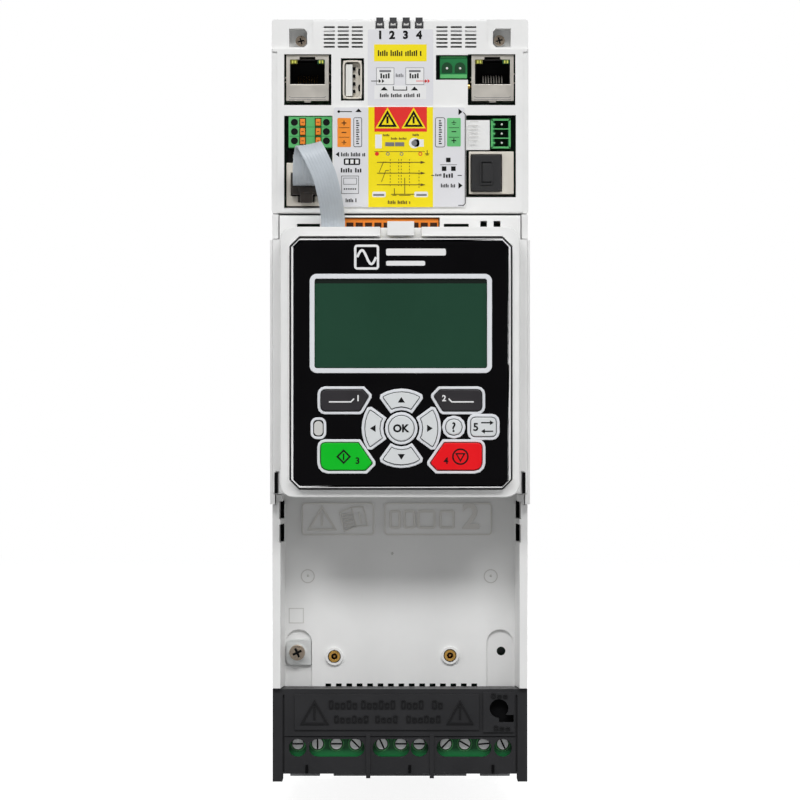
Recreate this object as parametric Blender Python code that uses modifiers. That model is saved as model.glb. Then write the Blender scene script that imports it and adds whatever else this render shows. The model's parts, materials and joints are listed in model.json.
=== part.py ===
"""Servo drive: a narrow wall-mounted drive with a plug-on keypad, as separate parts.

Sizes are in millimetres and become metres in the mesh. +Z is up and the front faces -Y.
The origin is the middle of the rear mounting face, so the drive fills the negative Y side.
"""
import math

import bmesh
import bpy
from mathutils import Matrix, Vector

MM = 0.001
GAP = 0.3

# Outline of the drive, seen from the front.
HALF_WIDTH = 48.4
MODULE_HALF_WIDTH = 48.6
MODULE_TOP = 144.2
MODULE_BOTTOM = 70.7
COVER_TOP = 69.9
COVER_BOTTOM = -35.6
SHOULDER_BOTTOM = -39.5
BAY_BOTTOM = -109.5
TERMINAL_TOP = -109.8
TERMINAL_BOTTOM = -142.0
CHASSIS_TOP = 141.5
WALL = 2.2

# Stations along the depth, from the wall to the front.
FLANGE_FRONT = -3.0
FIN_FRONT = -54.5
SPLIT = -62.0
FLOOR = -140.0
FRONT_START = FLOOR - GAP
BAY_LIP = -162.0
TERMINAL_FACE = -160.0
MODULE_FACE = -166.0
COVER_FACE = -168.0
CARRIER_BACK = COVER_FACE - GAP
CARRIER_FACE = -185.0
CARRIER_FLOOR = -174.5
KEYPAD_BACK = CARRIER_FLOOR - GAP
KEYPAD_FACE = -188.5
PANEL_BACK = -187.1
PANEL_FACE = -188.9
KEY_FACE = -190.3
BOARD_FACE = -145.7
CONNECTOR_BACK = BOARD_FACE - GAP
WELL_FLOOR = -157.6

# Mounting plate with open slots for four screws.
PLATE_HALF_WIDTH = 45.0
PLATE_HALF_HEIGHT = 154.0
SLOT_X = 30.0
SLOT_Z = 147.0
SLOT_RADIUS = 2.75

# Brass inserts and the earth screw on the floor of the option bay.
INSERTS = {"brass_insert_left": (-25.2, -98.4), "brass_insert_right": (19.2, -98.0)}
EARTH = (-39.4, -96.8)

# Keypad, seen from the front.
KEYPAD_X = 0.36
KEYPAD_Z = 13.75
KEYPAD_HALF = (41.1, 46.7)
PANEL_HALF = (40, 45.65)
PANEL_CHAMFER = 2.3
CASE_CHAMFER = 3.2
LCD_X = (-32.3, 32.9)
LCD_Z = (11.7, 45.6)
RING_X = 0.5
RING_Z = -10.6
RING_OUTER = 14.9
RING_INNER = 6.8
KEY_SPAN_DEG = 36.0
OK_RADIUS = 6.1
KEY_RIM = 1.35
KEY_CLEARANCE = 0.25

# Power terminal poles, from the left.
MAINS_POLES = (-38.9, -31.4, -24.2, -16.9)
DC_POLES = (-6.9, 0.3, 7.3)
MOTOR_POLES = (17.4, 24.6, 31.9, 39.1)
POLE_Z = -130.7
WELL_Z = -132.2
WELL_RADIUS = 3.4


def clear_scene():
    for item in list(bpy.data.objects):
        bpy.data.objects.remove(item, do_unlink=True)


def new_collection(name):
    made = bpy.data.collections.new(name)
    bpy.context.scene.collection.children.link(made)
    return made


clear_scene()
PARTS = new_collection("servo_drive")
CUTTERS = new_collection("cutters")


def material(name, colour, roughness, metallic=0.0):
    made = bpy.data.materials.new(name)
    made.use_nodes = True
    shader = made.node_tree.nodes["Principled BSDF"]
    shader.inputs["Base Color"].default_value = (*colour, 1.0)
    shader.inputs["Roughness"].default_value = roughness
    shader.inputs["Metallic"].default_value = metallic
    return made


SHELL = material("shell_plastic", (0.80, 0.80, 0.79), 0.45)
BLACK = material("black_plastic", (0.03, 0.03, 0.035), 0.5)
PANEL = material("gloss_panel", (0.01, 0.01, 0.012), 0.15)
GREEN = material("terminal_green", (0.05, 0.42, 0.17), 0.4)
ORANGE = material("terminal_orange", (0.95, 0.33, 0.02), 0.4)
STEEL = material("shell_steel", (0.70, 0.69, 0.66), 0.35, 1.0)
ALUMINIUM = material("aluminium", (0.62, 0.63, 0.65), 0.4, 1.0)
BRASS = material("brass", (0.75, 0.52, 0.2), 0.35, 1.0)
BOARD = material("circuit_board", (0.02, 0.2, 0.08), 0.5)
RIBBON = material("ribbon_grey", (0.42, 0.45, 0.48), 0.5)
KEY_GREY = material("key_grey", (0.5, 0.51, 0.52), 0.5)
KEY_DARK = material("key_dark", (0.12, 0.12, 0.13), 0.5)
KEY_GREEN = material("key_green", (0.0, 0.5, 0.04), 0.45)
KEY_RED = material("key_red", (0.9, 0.02, 0.03), 0.45)
LCD = material("lcd_glass", (0.02, 0.06, 0.04), 0.2)


# Shapes: each function adds one closed shape to a bmesh.

def box(x, y, z):
    """A box between three pairs of limits."""
    def add(shape):
        size = Vector((abs(x[1] - x[0]), abs(y[1] - y[0]), abs(z[1] - z[0]))) * MM
        middle = Vector((sum(x), sum(y), sum(z))) * MM / 2
        place = Matrix.Translation(middle) @ Matrix.Diagonal((*size, 1.0))
        bmesh.ops.create_cube(shape, size=1.0, matrix=place)
    return add


def rod(axis, centre, radius, span, sides=16, tip_radius=None):
    """A round bar along Y or Z; centre gives the two other coordinates."""
    def add(shape):
        length = abs(span[1] - span[0])
        middle = sum(span) / 2
        if axis == "Y":
            turn = Matrix.Rotation(-math.pi / 2, 4, "X")
            place = Vector((centre[0], middle, centre[1]))
        else:
            turn = Matrix.Identity(4)
            place = Vector((*centre, middle))
        end = radius if tip_radius is None else tip_radius
        bmesh.ops.create_cone(
            shape, cap_ends=True, segments=sides, radius1=radius * MM, radius2=end * MM,
            depth=length * MM, matrix=Matrix.Translation(place * MM) @ turn)
    return add


def slab(points, y, upright=False):
    """A flat outline in X and Z, extruded between two depths.

    With upright set, the outline is in X and Y and is extruded between two heights.
    """
    def add(shape):
        curve = bpy.data.curves.new("outline", "CURVE")
        curve.dimensions = "2D"
        curve.fill_mode = "BOTH"
        curve.extrude = abs(y[1] - y[0]) / 2 * MM
        spline = curve.splines.new("POLY")
        spline.points.add(len(points) - 1)
        spline.use_cyclic_u = True
        for point, (px, pz) in zip(spline.points, points):
            point.co = (px * MM, pz * MM, 0.0, 1.0)
        holder = bpy.data.objects.new("outline", curve)
        CUTTERS.objects.link(holder)
        bpy.context.view_layer.update()
        flat = bpy.data.meshes.new_from_object(
            holder.evaluated_get(bpy.context.evaluated_depsgraph_get()))
        middle = sum(y) / 2 * MM
        if upright:
            flat.transform(Matrix.Translation((0.0, 0.0, middle)))
        else:
            flat.transform(Matrix.Translation((0.0, middle, 0.0)) @ Matrix.Rotation(math.pi / 2, 4, "X"))
        start = len(shape.verts)
        shape.from_mesh(flat)
        shape.verts.ensure_lookup_table()
        bmesh.ops.remove_doubles(shape, verts=shape.verts[start:], dist=1e-6)
        bpy.data.objects.remove(holder, do_unlink=True)
    return add


# Outlines: lists of (x, z) points, anticlockwise.

def arc(x, z, radius, start_deg, end_deg, steps):
    turn = math.radians(end_deg - start_deg) / steps
    first = math.radians(start_deg)
    return [(x + radius * math.cos(first + turn * i), z + radius * math.sin(first + turn * i))
            for i in range(steps + 1)]


def rounded(x, z, radius, steps=4):
    """A rectangle between limits, with rounded corners."""
    left, right = x[0] + radius, x[1] - radius
    low, high = z[0] + radius, z[1] - radius
    return (arc(right, high, radius, 0, 90, steps) + arc(left, high, radius, 90, 180, steps)
            + arc(left, low, radius, 180, 270, steps) + arc(right, low, radius, 270, 360, steps))


def chamfered(x, z, size):
    return [(x[1], z[1] - size), (x[1] - size, z[1]), (x[0] + size, z[1]), (x[0], z[1] - size),
            (x[0], z[0] + size), (x[0] + size, z[0]), (x[1] - size, z[0]), (x[1], z[0] + size)]


def inset(points, distance):
    """The outline moved inwards by the same distance along every edge."""
    moved = []
    count = len(points)
    for i, here in enumerate(points):
        before, after = Vector(points[i - 1]), Vector(points[(i + 1) % count])
        here = Vector(here)
        first, second = (here - before).normalized(), (after - here).normalized()
        inward = Vector((-first.y - second.y, first.x + second.x)).normalized()
        share = inward.dot(Vector((-first.y, first.x)))
        moved.append(tuple(here + inward * distance / share))
    return moved


def ring_key(direction_deg, corner=1.1):
    """A key that covers part of the ring round the OK key, with rounded outer corners."""
    trim = math.degrees(corner / RING_OUTER)
    start, end = direction_deg - KEY_SPAN_DEG, direction_deg + KEY_SPAN_DEG
    side_radius = RING_OUTER - corner
    return (arc(RING_X, RING_Z, RING_OUTER, start + trim, end - trim, 6)
            + arc(RING_X, RING_Z, side_radius, end, end, 1)[:1]
            + arc(RING_X, RING_Z, RING_INNER, end, start, 4)
            + arc(RING_X, RING_Z, side_radius, start, start, 1)[:1])


def mirrored(points, mirror):
    """The outline as it is, or its mirror image about the ring's centre line."""
    if not mirror:
        return points
    return [(2 * RING_X - px, pz) for px, pz in reversed(points)]


def soft_key(mirror):
    """A rounded key whose inner end is a blunt point."""
    left, low, high, corner = -30.9, -5.4, 5.1, 2.8
    return mirrored([(-14.9, low), (-13.9, -4.7), (-10.6, 0.9), (-10.6, 2.1), (-13.4, high)]
                    + arc(left + corner, high - corner, corner, 90, 180, 3)
                    + arc(left + corner, low + corner, corner, 180, 270, 3), mirror)


def run_key(mirror):
    """A large key whose inner end is cut back round the ring."""
    left, low, high, top_corner, bottom_corner = -31.0, -27.6, -14.7, 2.8, 4.0
    return mirrored([(-12.4, low), (-9.2, -24.4), (-9.2, -23.0), (-14.9, high)]
                    + arc(left + top_corner, high - top_corner, top_corner, 90, 180, 3)
                    + arc(left + bottom_corner, low + bottom_corner, bottom_corner, 180, 270, 3), mirror)


def key_outlines(margin):
    """The opening of every key in the panel, by name, moved inwards by a margin."""
    outlines = {
        "button_soft_left": soft_key(False),
        "button_soft_right": soft_key(True),
        "button_up": ring_key(90),
        "button_down": ring_key(270),
        "button_left": ring_key(180),
        "button_right": ring_key(0),
        "button_ok": arc(RING_X, RING_Z, OK_RADIUS, 0, 345, 23),
        "button_help": rounded((15.8, 24.5), (-14.4, -5.9), 3.9, 3),
        "button_local_remote": rounded((25.2, 37.3), (-15.0, -5.2), 2.8, 3),
        "button_start": run_key(False),
        "button_stop": run_key(True),
    }
    return {name: inset(outline, margin) for name, outline in outlines.items()}


# Objects: a part starts from its shapes, and cutters and joined shapes are Boolean modifiers.

def mesh_of(name, shapes):
    shape = bmesh.new()
    for add in shapes:
        add(shape)
    made = bpy.data.meshes.new(name)
    shape.to_mesh(made)
    shape.free()
    return made


def part(name, look, *shapes):
    """A part from one shape, with any others joined to it."""
    made = bpy.data.objects.new(name, mesh_of(name, shapes[:1]))
    made.data.materials.append(look)
    PARTS.objects.link(made)
    for extra in shapes[1:]:
        join(made, extra)
    return made


def tool(target, purpose, shapes):
    number = len(target.modifiers) + 1
    name = f"{target.name}_{purpose}_{number}"
    made = bpy.data.objects.new(name, mesh_of(name, shapes))
    made.hide_render = True
    made.display_type = "WIRE"
    CUTTERS.objects.link(made)
    return made


def boolean(target, operation, shapes):
    change = target.modifiers.new(operation.lower(), "BOOLEAN")
    change.operation = operation
    change.solver = "EXACT"
    change.object = tool(target, operation.lower(), shapes)


def cut(target, *shapes):
    """Removes shapes that don't touch one another."""
    boolean(target, "DIFFERENCE", shapes)


def join(target, *shapes):
    """Adds shapes that don't touch one another but each overlap the part."""
    boolean(target, "UNION", shapes)


def round_edges(target, width, segments=2, angle_deg=50):
    """Rounds the outer edges of a part before anything is cut out of it."""
    soft = target.modifiers.new("edges", "BEVEL")
    soft.width = width * MM
    soft.segments = segments
    soft.limit_method = "ANGLE"
    soft.angle_limit = math.radians(angle_deg)


def pivot(target, x, y, z):
    """Moves a part's origin onto its joint's axis."""
    place = Vector((x, y, z)) * MM
    target.data.transform(Matrix.Translation(-place))
    target.location = place


def round_smooth(target):
    target.data.shade_smooth()
    target.data.set_sharp_from_angle(angle=math.radians(35))


# Rear of the drive: heatsink, fan and rear housing.

FIN_COUNT = 11
FIN_PITCH = 8.0
FIN_THICKNESS = 2.2
FAN_Y = -29.0
FAN_HALF = 24.0
FAN_Z = (-136.0, -122.0)
FAN_RADIUS = 22.0
ROTOR_HUB = 9.0
BLADES = 7


def make_heatsink():
    """Base, vertical fins and the wall plate of one extrusion; the fan's bay is cut out below."""
    sink = part("heatsink", ALUMINIUM, box((-44, 44), (FIN_FRONT, -60.0), (-136, 136)))
    first = -FIN_PITCH * (FIN_COUNT - 1) / 2
    fins = [box((first + FIN_PITCH * i - FIN_THICKNESS / 2, first + FIN_PITCH * i + FIN_THICKNESS / 2),
                (FLANGE_FRONT + 1, FIN_FRONT - 1), (-134, 134)) for i in range(FIN_COUNT)]
    join(sink, *fins)
    join(sink, box((-PLATE_HALF_WIDTH, PLATE_HALF_WIDTH), (FLANGE_FRONT, 0),
                   (-PLATE_HALF_HEIGHT, PLATE_HALF_HEIGHT)))
    cut(sink, box((-FAN_HALF - 2, FAN_HALF + 2), (FLANGE_FRONT, FIN_FRONT), (-137, FAN_Z[1] + 3)))
    for side in (-1, 1):
        cut(sink, *[rod("Y", (side * SLOT_X, end * SLOT_Z), SLOT_RADIUS, (-6, 3)) for end in (-1, 1)])
        cut(sink, *[box((side * SLOT_X - SLOT_RADIUS, side * SLOT_X + SLOT_RADIUS), (-6, 3),
                        (end * SLOT_Z, end * (PLATE_HALF_HEIGHT + 2))) for end in (-1, 1)])
    return sink


def make_fan():
    y = (FAN_Y - FAN_HALF, FAN_Y + FAN_HALF)
    frame = part("fan_frame", BLACK, box((-FAN_HALF, FAN_HALF), y, FAN_Z))
    cut(frame, rod("Z", (0, FAN_Y), FAN_RADIUS, (FAN_Z[0] - 1, FAN_Z[1] + 1), 28))
    join(frame, box((-FAN_HALF + 1, FAN_HALF - 1), (FAN_Y - 1.4, FAN_Y + 1.4),
                    (FAN_Z[0] + 0.4, FAN_Z[0] + 2.4)))
    join(frame, box((-1.4, 1.4), (FAN_Y - FAN_HALF + 1, FAN_Y + FAN_HALF - 1),
                    (FAN_Z[0] + 0.4, FAN_Z[0] + 2.4)))
    join(frame, rod("Z", (0, FAN_Y), ROTOR_HUB, (FAN_Z[0] + 0.2, FAN_Z[0] + 2.6)))
    corners = [rod("Z", (sx * 20.5, FAN_Y + sy * 20.5), 1.6, (FAN_Z[0] - 1, FAN_Z[1] + 1), 10)
               for sx in (-1, 1) for sy in (-1, 1)]
    cut(frame, *corners)
    rotor_z = (FAN_Z[0] + 3.0, FAN_Z[1] - 0.6)
    rotor = part("fan_rotor", BLACK, rod("Z", (0, FAN_Y), ROTOR_HUB, rotor_z, 20))
    middle = sum(rotor_z) / 2
    for i in range(BLADES):
        spin = Matrix.Rotation(2 * math.pi * i / BLADES, 4, "Z")
        tilt = Matrix.Rotation(math.radians(40), 4, "X")
        place = (Matrix.Translation(Vector((0, FAN_Y, middle)) * MM) @ spin
                 @ Matrix.Translation(Vector((14.4, 0, 0)) * MM) @ tilt
                 @ Matrix.Diagonal((13.0 * MM, 10.0 * MM, 1.2 * MM, 1.0)))

        def blade(shape, place=place):
            bmesh.ops.create_cube(shape, size=1.0, matrix=place)
        join(rotor, blade)
    pivot(rotor, 0, FAN_Y, middle)


def make_rear_housing():
    """A plastic tube round the heatsink, with a vented top and the fan's grille below."""
    half, height = 47.4, 139.2
    shell = part("rear_housing", SHELL,
                 box((-half, half), (SPLIT, FLANGE_FRONT - GAP), (-height, height)))
    cut(shell, box((-half + 1.9, half - 1.9), (SPLIT - 1, 0), (-height + 2.2, height - 2.2)))
    top_slots = [box((-36 + 8 * i - 2.6, -36 + 8 * i + 2.6), (-52, -12), (130, 142)) for i in range(10)]
    cut(shell, *top_slots)
    grille = [box((-FAN_RADIUS + 1.5, FAN_RADIUS - 1.5), (FAN_Y - 21 + 6 * i, FAN_Y - 17 + 6 * i),
                  (-142, -130)) for i in range(7)]
    cut(shell, *grille)
    for side in (-1, 1):
        slots = [box((side * 44, side * 50), (-50, -14), (z, z + 3)) for z in (60, 68, 76, 84, 92)]
        cut(shell, *slots)


def make_front_housing():
    """The main tray: its front wall is the floor of the option bay, between two side walls."""
    tray = part("front_housing", SHELL,
                box((-HALF_WIDTH, HALF_WIDTH), (FLOOR, SPLIT - GAP), (TERMINAL_BOTTOM, CHASSIS_TOP)))
    cut(tray, box((-HALF_WIDTH + WALL, HALF_WIDTH - WALL), (FLOOR + WALL, SPLIT + 2),
                  (TERMINAL_BOTTOM + WALL, CHASSIS_TOP - WALL)))
    for side in (-1, 1):
        # The bay's side wall thickens towards the floor.
        wing = [(side * 45.4, BAY_LIP), (side * HALF_WIDTH, BAY_LIP),
                (side * HALF_WIDTH, FLOOR + 1), (side * 44.0, FLOOR + 1)]
        join(tray, slab(wing[::side], (BAY_BOTTOM, SHOULDER_BOTTOM - GAP), upright=True))
        join(tray, box((side * 44.6, side * 46.9), (BAY_LIP, FLOOR + 1),
                       (SHOULDER_BOTTOM - 2, COVER_BOTTOM - GAP)))
        join(tray, box((side * 46.0, side * HALF_WIDTH), (BAY_LIP - 4, FLOOR + 1), (61.1, 70.3)))
    # Two raised plates at the top of the bay's floor.
    join(tray, slab(rounded((-37.9, -9.7), (-52.1, -39.2), 1.6), (FLOOR - 0.8, FLOOR + 1)),
         slab(rounded((-6.3, 35.4), (-52.1, -39.2), 1.6), (FLOOR - 0.8, FLOOR + 1)))
    # A shallow recess with a round top in each lower corner, the left one for the earth tab.
    recess_z = (-124.0, -88.0)
    cut(tray, slab(rounded((-43.9, -33.8), recess_z, 5.0), (FLOOR - 1, FLOOR + 1.3)),
        slab(rounded((33.2, 43.4), recess_z, 5.0), (FLOOR - 1, FLOOR + 1.3)))
    # Bosses for the two brass inserts, and their holes.
    join(tray, *[rod("Y", place, 3.4, (FLOOR - 1.0, FLOOR + 4)) for place in INSERTS.values()])
    cut(tray, *[rod("Y", place, 2.5, (FLOOR - 2, FLOOR + 5)) for place in INSERTS.values()],
        rod("Y", (38.8, -96.4), 1.7, (FLOOR - 2, FLOOR + 5)))
    # Comb of small slots along the bottom edge of the floor.
    cut(tray, *[box((-28.6 + 4 * i, -26.4 + 4 * i), (FLOOR - 2, FLOOR + 4), (-113.0, -108.8))
                for i in range(15)])
    # Slots between the floor and the side walls.
    for side in (-1, 1):
        cut(tray, *[box((side * 44.3, side * 45.9), (BAY_LIP - 1, FLOOR + 4), (z - 6.8, z))
                    for z in (-38.5, -47.3)])
    # Opening for the power terminals, and cooling slots in the sides, top and bottom.
    cut(tray, box((-44, 44), (FLOOR - 2, FLOOR + 4), (-138, -125.2)))
    cut(tray, box((-44, 44), (FLOOR - 2, FLOOR + 10), (-145, -137)))
    for side in (-1, 1):
        cut(tray, *[box((side * 44, side * 50), (-118, -78), (z, z + 3)) for z in range(-96, 100, 14)])
    cut(tray, *[box((-39.4 + 8 * i, -34.6 + 8 * i), (-126, -76), (136, 145)) for i in range(10)])


def make_upper_cover():
    """Cover of the control module, with its openings for connectors, vents and light pipes."""
    face, back = MODULE_FACE, MODULE_FACE + 2.5
    through = (face - 2, back + 1)
    cover = part("upper_cover", SHELL,
                 box((-MODULE_HALF_WIDTH, MODULE_HALF_WIDTH), (face, FRONT_START),
                     (MODULE_BOTTOM, MODULE_TOP)))
    round_edges(cover, 1.0)
    cut(cover, box((-MODULE_HALF_WIDTH + WALL, MODULE_HALF_WIDTH - WALL), (back, FLOOR + 2),
                   (MODULE_BOTTOM + WALL, MODULE_TOP - WALL)))
    # The control board passes behind the bottom wall.
    cut(cover, box((-46, 46), (BOARD_FACE - 1.3, FLOOR + 2), (MODULE_BOTTOM - 2, MODULE_BOTTOM + 3)))
    # Corner blocks, a step lower than the face, each with a screw's well.
    for side in (-1, 1):
        block = [(32.9, MODULE_TOP + 2), (32.9, 135.0), (34.9, 133.0), (50.0, 133.0), (50.0, MODULE_TOP + 2)]
        block = [(side * px, pz) for px, pz in block]
        cut(cover, slab(block[::side], (face - 2, face + 1.1)))
        cut(cover, box((side * 46.6, side * 50), (face - 2, face + 0.8), (MODULE_BOTTOM - 1, 132.0)))
        join(cover, box((side * 33.7, side * 42.9), (back - 1, WELL_FLOOR + 2.0), (132.8, MODULE_TOP - 1)))
        well = [(42.0, 133.7), (42.0, 140.8), (36.4, 140.8), (35.2, 139.6), (35.2, 134.9), (36.4, 133.7)]
        well = [(side * px, pz) for px, pz in well]
        cut(cover, slab(well[::side], (face - 2, WELL_FLOOR)))
    cut(cover, box((-43.9, -26.0), through, (111.7, 131.0)), box((25.7, 43.7), through, (111.7, 131.0)),
        box((-22.4, -13.6), through, (113.4, 129.5)),
        box((-43.9, -25.6), through, (72.4, 107.7)), box((25.0, 43.9), through, (76.8, 107.9)))
    cut(cover, box((13.6, 26.3), through, (121.3, 130.7)))
    for columns in ((-28.9, -23.6, -18.3), (13.8, 19.2, 24.7)):
        for x in columns:
            cut(cover, *[box((x, x + 4.2), through, (133.45 + 1.49 * i, 134.15 + 1.49 * i))
                         for i in range(6)])
    cut(cover, *[box((x - 1.65, x + 1.65), (face - 2, -157.9), (140.7, MODULE_TOP + 2))
                 for x in (-7.65, -2.6, 2.35, 7.25)])
    # A blank plate beside the CAN header, set back behind the front wall.
    join(cover, box((23.5, 34.0), (back - 1, -161.5), (94.8, 106.1)))
    # A raised middle field carries the printed overlay.
    join(cover, box((-25.2, 24.6), (face - 0.7, face + 1), (73.0, 111.0)))
    return cover


def make_middle_cover():
    """Cover behind the keypad, with the I/O terminal's opening along its top edge."""
    face = COVER_FACE
    through = (face - 2, face + 3)
    cover = part("middle_cover", SHELL,
                 box((-HALF_WIDTH, HALF_WIDTH), (face, FRONT_START), (COVER_BOTTOM, COVER_TOP)))
    round_edges(cover, 1.0)
    cut(cover, box((-HALF_WIDTH + WALL, HALF_WIDTH - WALL), (face + WALL, FLOOR + 2),
                   (COVER_BOTTOM + WALL, COVER_TOP - WALL)))
    cut(cover, box((-46, 46), (BOARD_FACE - 1.3, FLOOR + 2), (COVER_TOP - 4, COVER_TOP + 2)))
    cut(cover, box((-21.8, 15.0), (face + 1, FLOOR), (COVER_TOP - 4, 69.1)))
    for side in (-1, 1):
        # The shoulders beside the top edge are cut away for the housing's side walls.
        cut(cover, box((side * 45.6, side * 50), (face - 2, FLOOR + 2), (60.8, 72)))
        join(cover, box((side * (HALF_WIDTH - 1), side * 49.2), (face + 1.2, -144), (SHOULDER_BOTTOM, 60.5)))
        cut(cover, box((side * 45.7, side * 47.0), (face - 2, face + 0.9), (COVER_BOTTOM - 1, -27)))
    cut(cover, box((-21.8, 15.0), through, (58.0, 69.1)), box((-39, -30.3), through, (65.2, 66.7)),
        box((16.6, 26), through, (65.2, 66.7)), box((30.4, 32.9), through, (65.3, 67.8)),
        box((35.4, 38), through, (65.3, 67.8)))
    # Way through for the ribbon cable behind the carrier.
    cut(cover, box((-31.0, -23.0), through, (48.0, 56.5)))


def pole_wells(groups):
    """Outlines of the screwdriver wells: round ends, one well for each group of poles."""
    return [rounded((first - WELL_RADIUS, last + WELL_RADIUS),
                    (WELL_Z - WELL_RADIUS, WELL_Z + WELL_RADIUS), WELL_RADIUS - 0.05, 4)
            for first, last in groups]


def make_terminal_cover():
    face = TERMINAL_FACE
    cover = part("terminal_cover", BLACK,
                 box((-HALF_WIDTH, HALF_WIDTH), (face, FRONT_START), (TERMINAL_BOTTOM, TERMINAL_TOP)))
    cut(cover, box((-HALF_WIDTH + WALL, HALF_WIDTH - WALL), (face + WALL, FLOOR + 2),
                   (TERMINAL_BOTTOM + WALL, TERMINAL_TOP - WALL)))
    join(cover, box((-40, 30), (face - 0.8, face + 1), (-125.3, -111.7)),
         box((31.6, 43.5), (face - 0.8, face + 1), (-126.2, -111.0)))
    for side in (-1, 1):
        join(cover, box((side * 44.7, side * HALF_WIDTH), (face, -142), (-145, -141)))
        join(cover, box((side * 12.1 - 0.8, side * 12.1 + 0.8), (face - 0.6, -150), (-143.7, -127)))
    groups = ((-38.9, -38.9), (-31.2, -16.8), (-7.0, 0.3), (7.4, 7.4), (17.3, 31.4), (39.1, 39.1))
    wells = [slab(outline, (face - 3, face + WALL + 1)) for outline in pole_wells(groups)]
    cut(cover, *wells[0::2])
    cut(cover, *wells[1::2])
    # Cable hole with a foot at its right, and a groove beside each end post.
    cut(cover, rod("Y", (37.6, -117.2), 3.6, (face - 3, face + WALL + 1)))
    cut(cover, box((37.6, 43.2), (face - 3, face + WALL + 1), (-122.4, -119.6)))
    for side in (-1, 1):
        cut(cover, box((side * 43.9, side * 44.6), (face - 1, face + 1.2), (TERMINAL_BOTTOM + 0.6, -112.0)))
    cut(cover, *[box((x - 2.7, x + 2.7), (-152.8, -143.2), (-148, -138))
                 for x in MAINS_POLES + DC_POLES + MOTOR_POLES])


def make_power_terminal(name, poles):
    """A terminal block with its clamping screws in front and its wire entries below."""
    x = (poles[0] - 3.4, poles[-1] + 3.4)
    block = part(name, GREEN, box(x, (-154.5, -130.6), (-139.5, -126.0)))
    cut(block, *[rod("Y", (pole, POLE_Z), 3.0, (-156, -153.2), 14) for pole in poles])
    join(block, *[rod("Y", (pole, POLE_Z), 2.2, (-154.3, -151.0), 14) for pole in poles])
    cut(block, *[box((pole - 2.4, pole + 2.4), (-152.2, -144.0), (-141, -133.6)) for pole in poles])


def make_power_section():
    board = part("power_board", BOARD, box((-43, 43), (-130, -128.4), (-136, 128)))
    cut(board, box((-30, 30), (-131, -127), (-20, 20)))
    part("power_module", BLACK, box((-28, 28), (-72, -60.3), (-58, 52)))
    for name, z in (("dc_capacitor_upper", 96.0), ("dc_capacitor_lower", 58.0)):
        can = part(name, BLACK, rod("Y", (0, z), 17.5, (-128.0, -78.0), 24))
        round_smooth(can)
    make_power_terminal("mains_terminal", MAINS_POLES)
    make_power_terminal("dc_bus_terminal", DC_POLES)
    make_power_terminal("motor_terminal", MOTOR_POLES)


# Control module: board and connectors.

def make_jack(name, x, z, opening_x, opening_z, depth, face, notch=None):
    """A shielded modular jack: a shell with a cavity for the plug, and a latch notch."""
    jack = part(name, STEEL, box(x, (face, CONNECTOR_BACK), z))
    cut(jack, box(opening_x, (face - 2, face + depth), opening_z))
    if notch:
        cut(jack, box(notch[0], (face - 2, face + depth - 4), notch[1]))
    return jack


def make_connectors():
    board = part("control_board", BOARD, box((-44.5, 44.5), (BOARD_FACE, BOARD_FACE + 1.6), (56, 139)))
    cut(board, box((-20, 20), (BOARD_FACE - 1, BOARD_FACE + 3), (80, 100)))
    jack_z = (113.4, 130.7)
    make_jack("rj45_left", (-43.1, -27.0), jack_z, (-41.7, -28.5), (119.7, 129.0), 14.5, -164.8,
              ((-38.1, -32.1), (128.5, 130.0)))
    make_jack("rj45_right", (27.1, 43.1), jack_z, (28.4, 41.7), (119.7, 129.0), 14.5, -164.8,
              ((32.0, 38.0), (128.5, 130.0)))
    make_jack("lan_jack", (26.1, 43.1), (78.1, 94.2), (26.8, 38.6), (79.0, 93.1), 13.0, -164.6)
    make_jack("keypad_jack", (-43.1, -27.1), (73.6, 90.0), (-41.4, -29.4), (77.4, 86.2), 13.0, -163.0,
              ((-38.6, -32.4), (75.0, 78.0)))
    usb = part("usb_port", STEEL, box((-21.6, -14.5), (-165.4, CONNECTOR_BACK), (114.2, 128.6)))
    cut(usb, box((-21.1, -15.0), (-168, -152), (114.7, 128.1)))
    join(usb, box((-20.3, -18.4), (-164.4, -151), (115.6, 127.2)))
    header = part("two_pin_header", GREEN, box((15.1, 25.5), (-164.2, CONNECTOR_BACK), (121.9, 130.3)))
    cut(header, box((15.8, 19.9), (-167, -154), (123.1, 129.4)),
        box((20.7, 24.8), (-167, -154), (123.1, 129.4)))
    join(header, *[rod("Y", (x, 126.4), 0.6, (-162.5, -153), 8) for x in (17.8, 22.8)])
    can = part("can_header", GREEN, box((34.4, 42.0), (-164.2, CONNECTOR_BACK), (95.3, 106.7)))
    cut(can, *[box((35.7, 41.0), (-167, -154), (z - 1.55, z + 1.55)) for z in (97.5, 101.0, 104.5)])
    join(can, *[rod("Y", (38.6, z), 0.5, (-162.5, -153), 8) for z in (97.5, 101.0, 104.5)])
    make_modbus_terminal()
    part("io_terminal", ORANGE, box((-21.4, 14.6), (-166.6, CONNECTOR_BACK), (58.4, 68.7)))
    make_light_pipes()
    switch = part("termination_switch", BLACK, box((-43.0, -34.0), (-159, CONNECTOR_BACK), (90.5, 94.6)))
    cut(switch, box((-41.0, -36.0), (-160, -157.4), (91.4, 93.6)))
    slider = part("termination_slider", SHELL, box((-40.7, -38.9), (-160.6, -157.8), (91.7, 93.3)))
    pivot(slider, -39.8, -159.2, 92.5)
    dust = part("lan_dust_plug", BLACK, box((27.1, 38.3), (-166.6, -152.0), (79.3, 92.8)))
    join(dust, box((31.2, 35.2), (-167.3, -166.0), (82.6, 89.5)))
    pivot(dust, 32.7, -166.6, 86.05)


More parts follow.
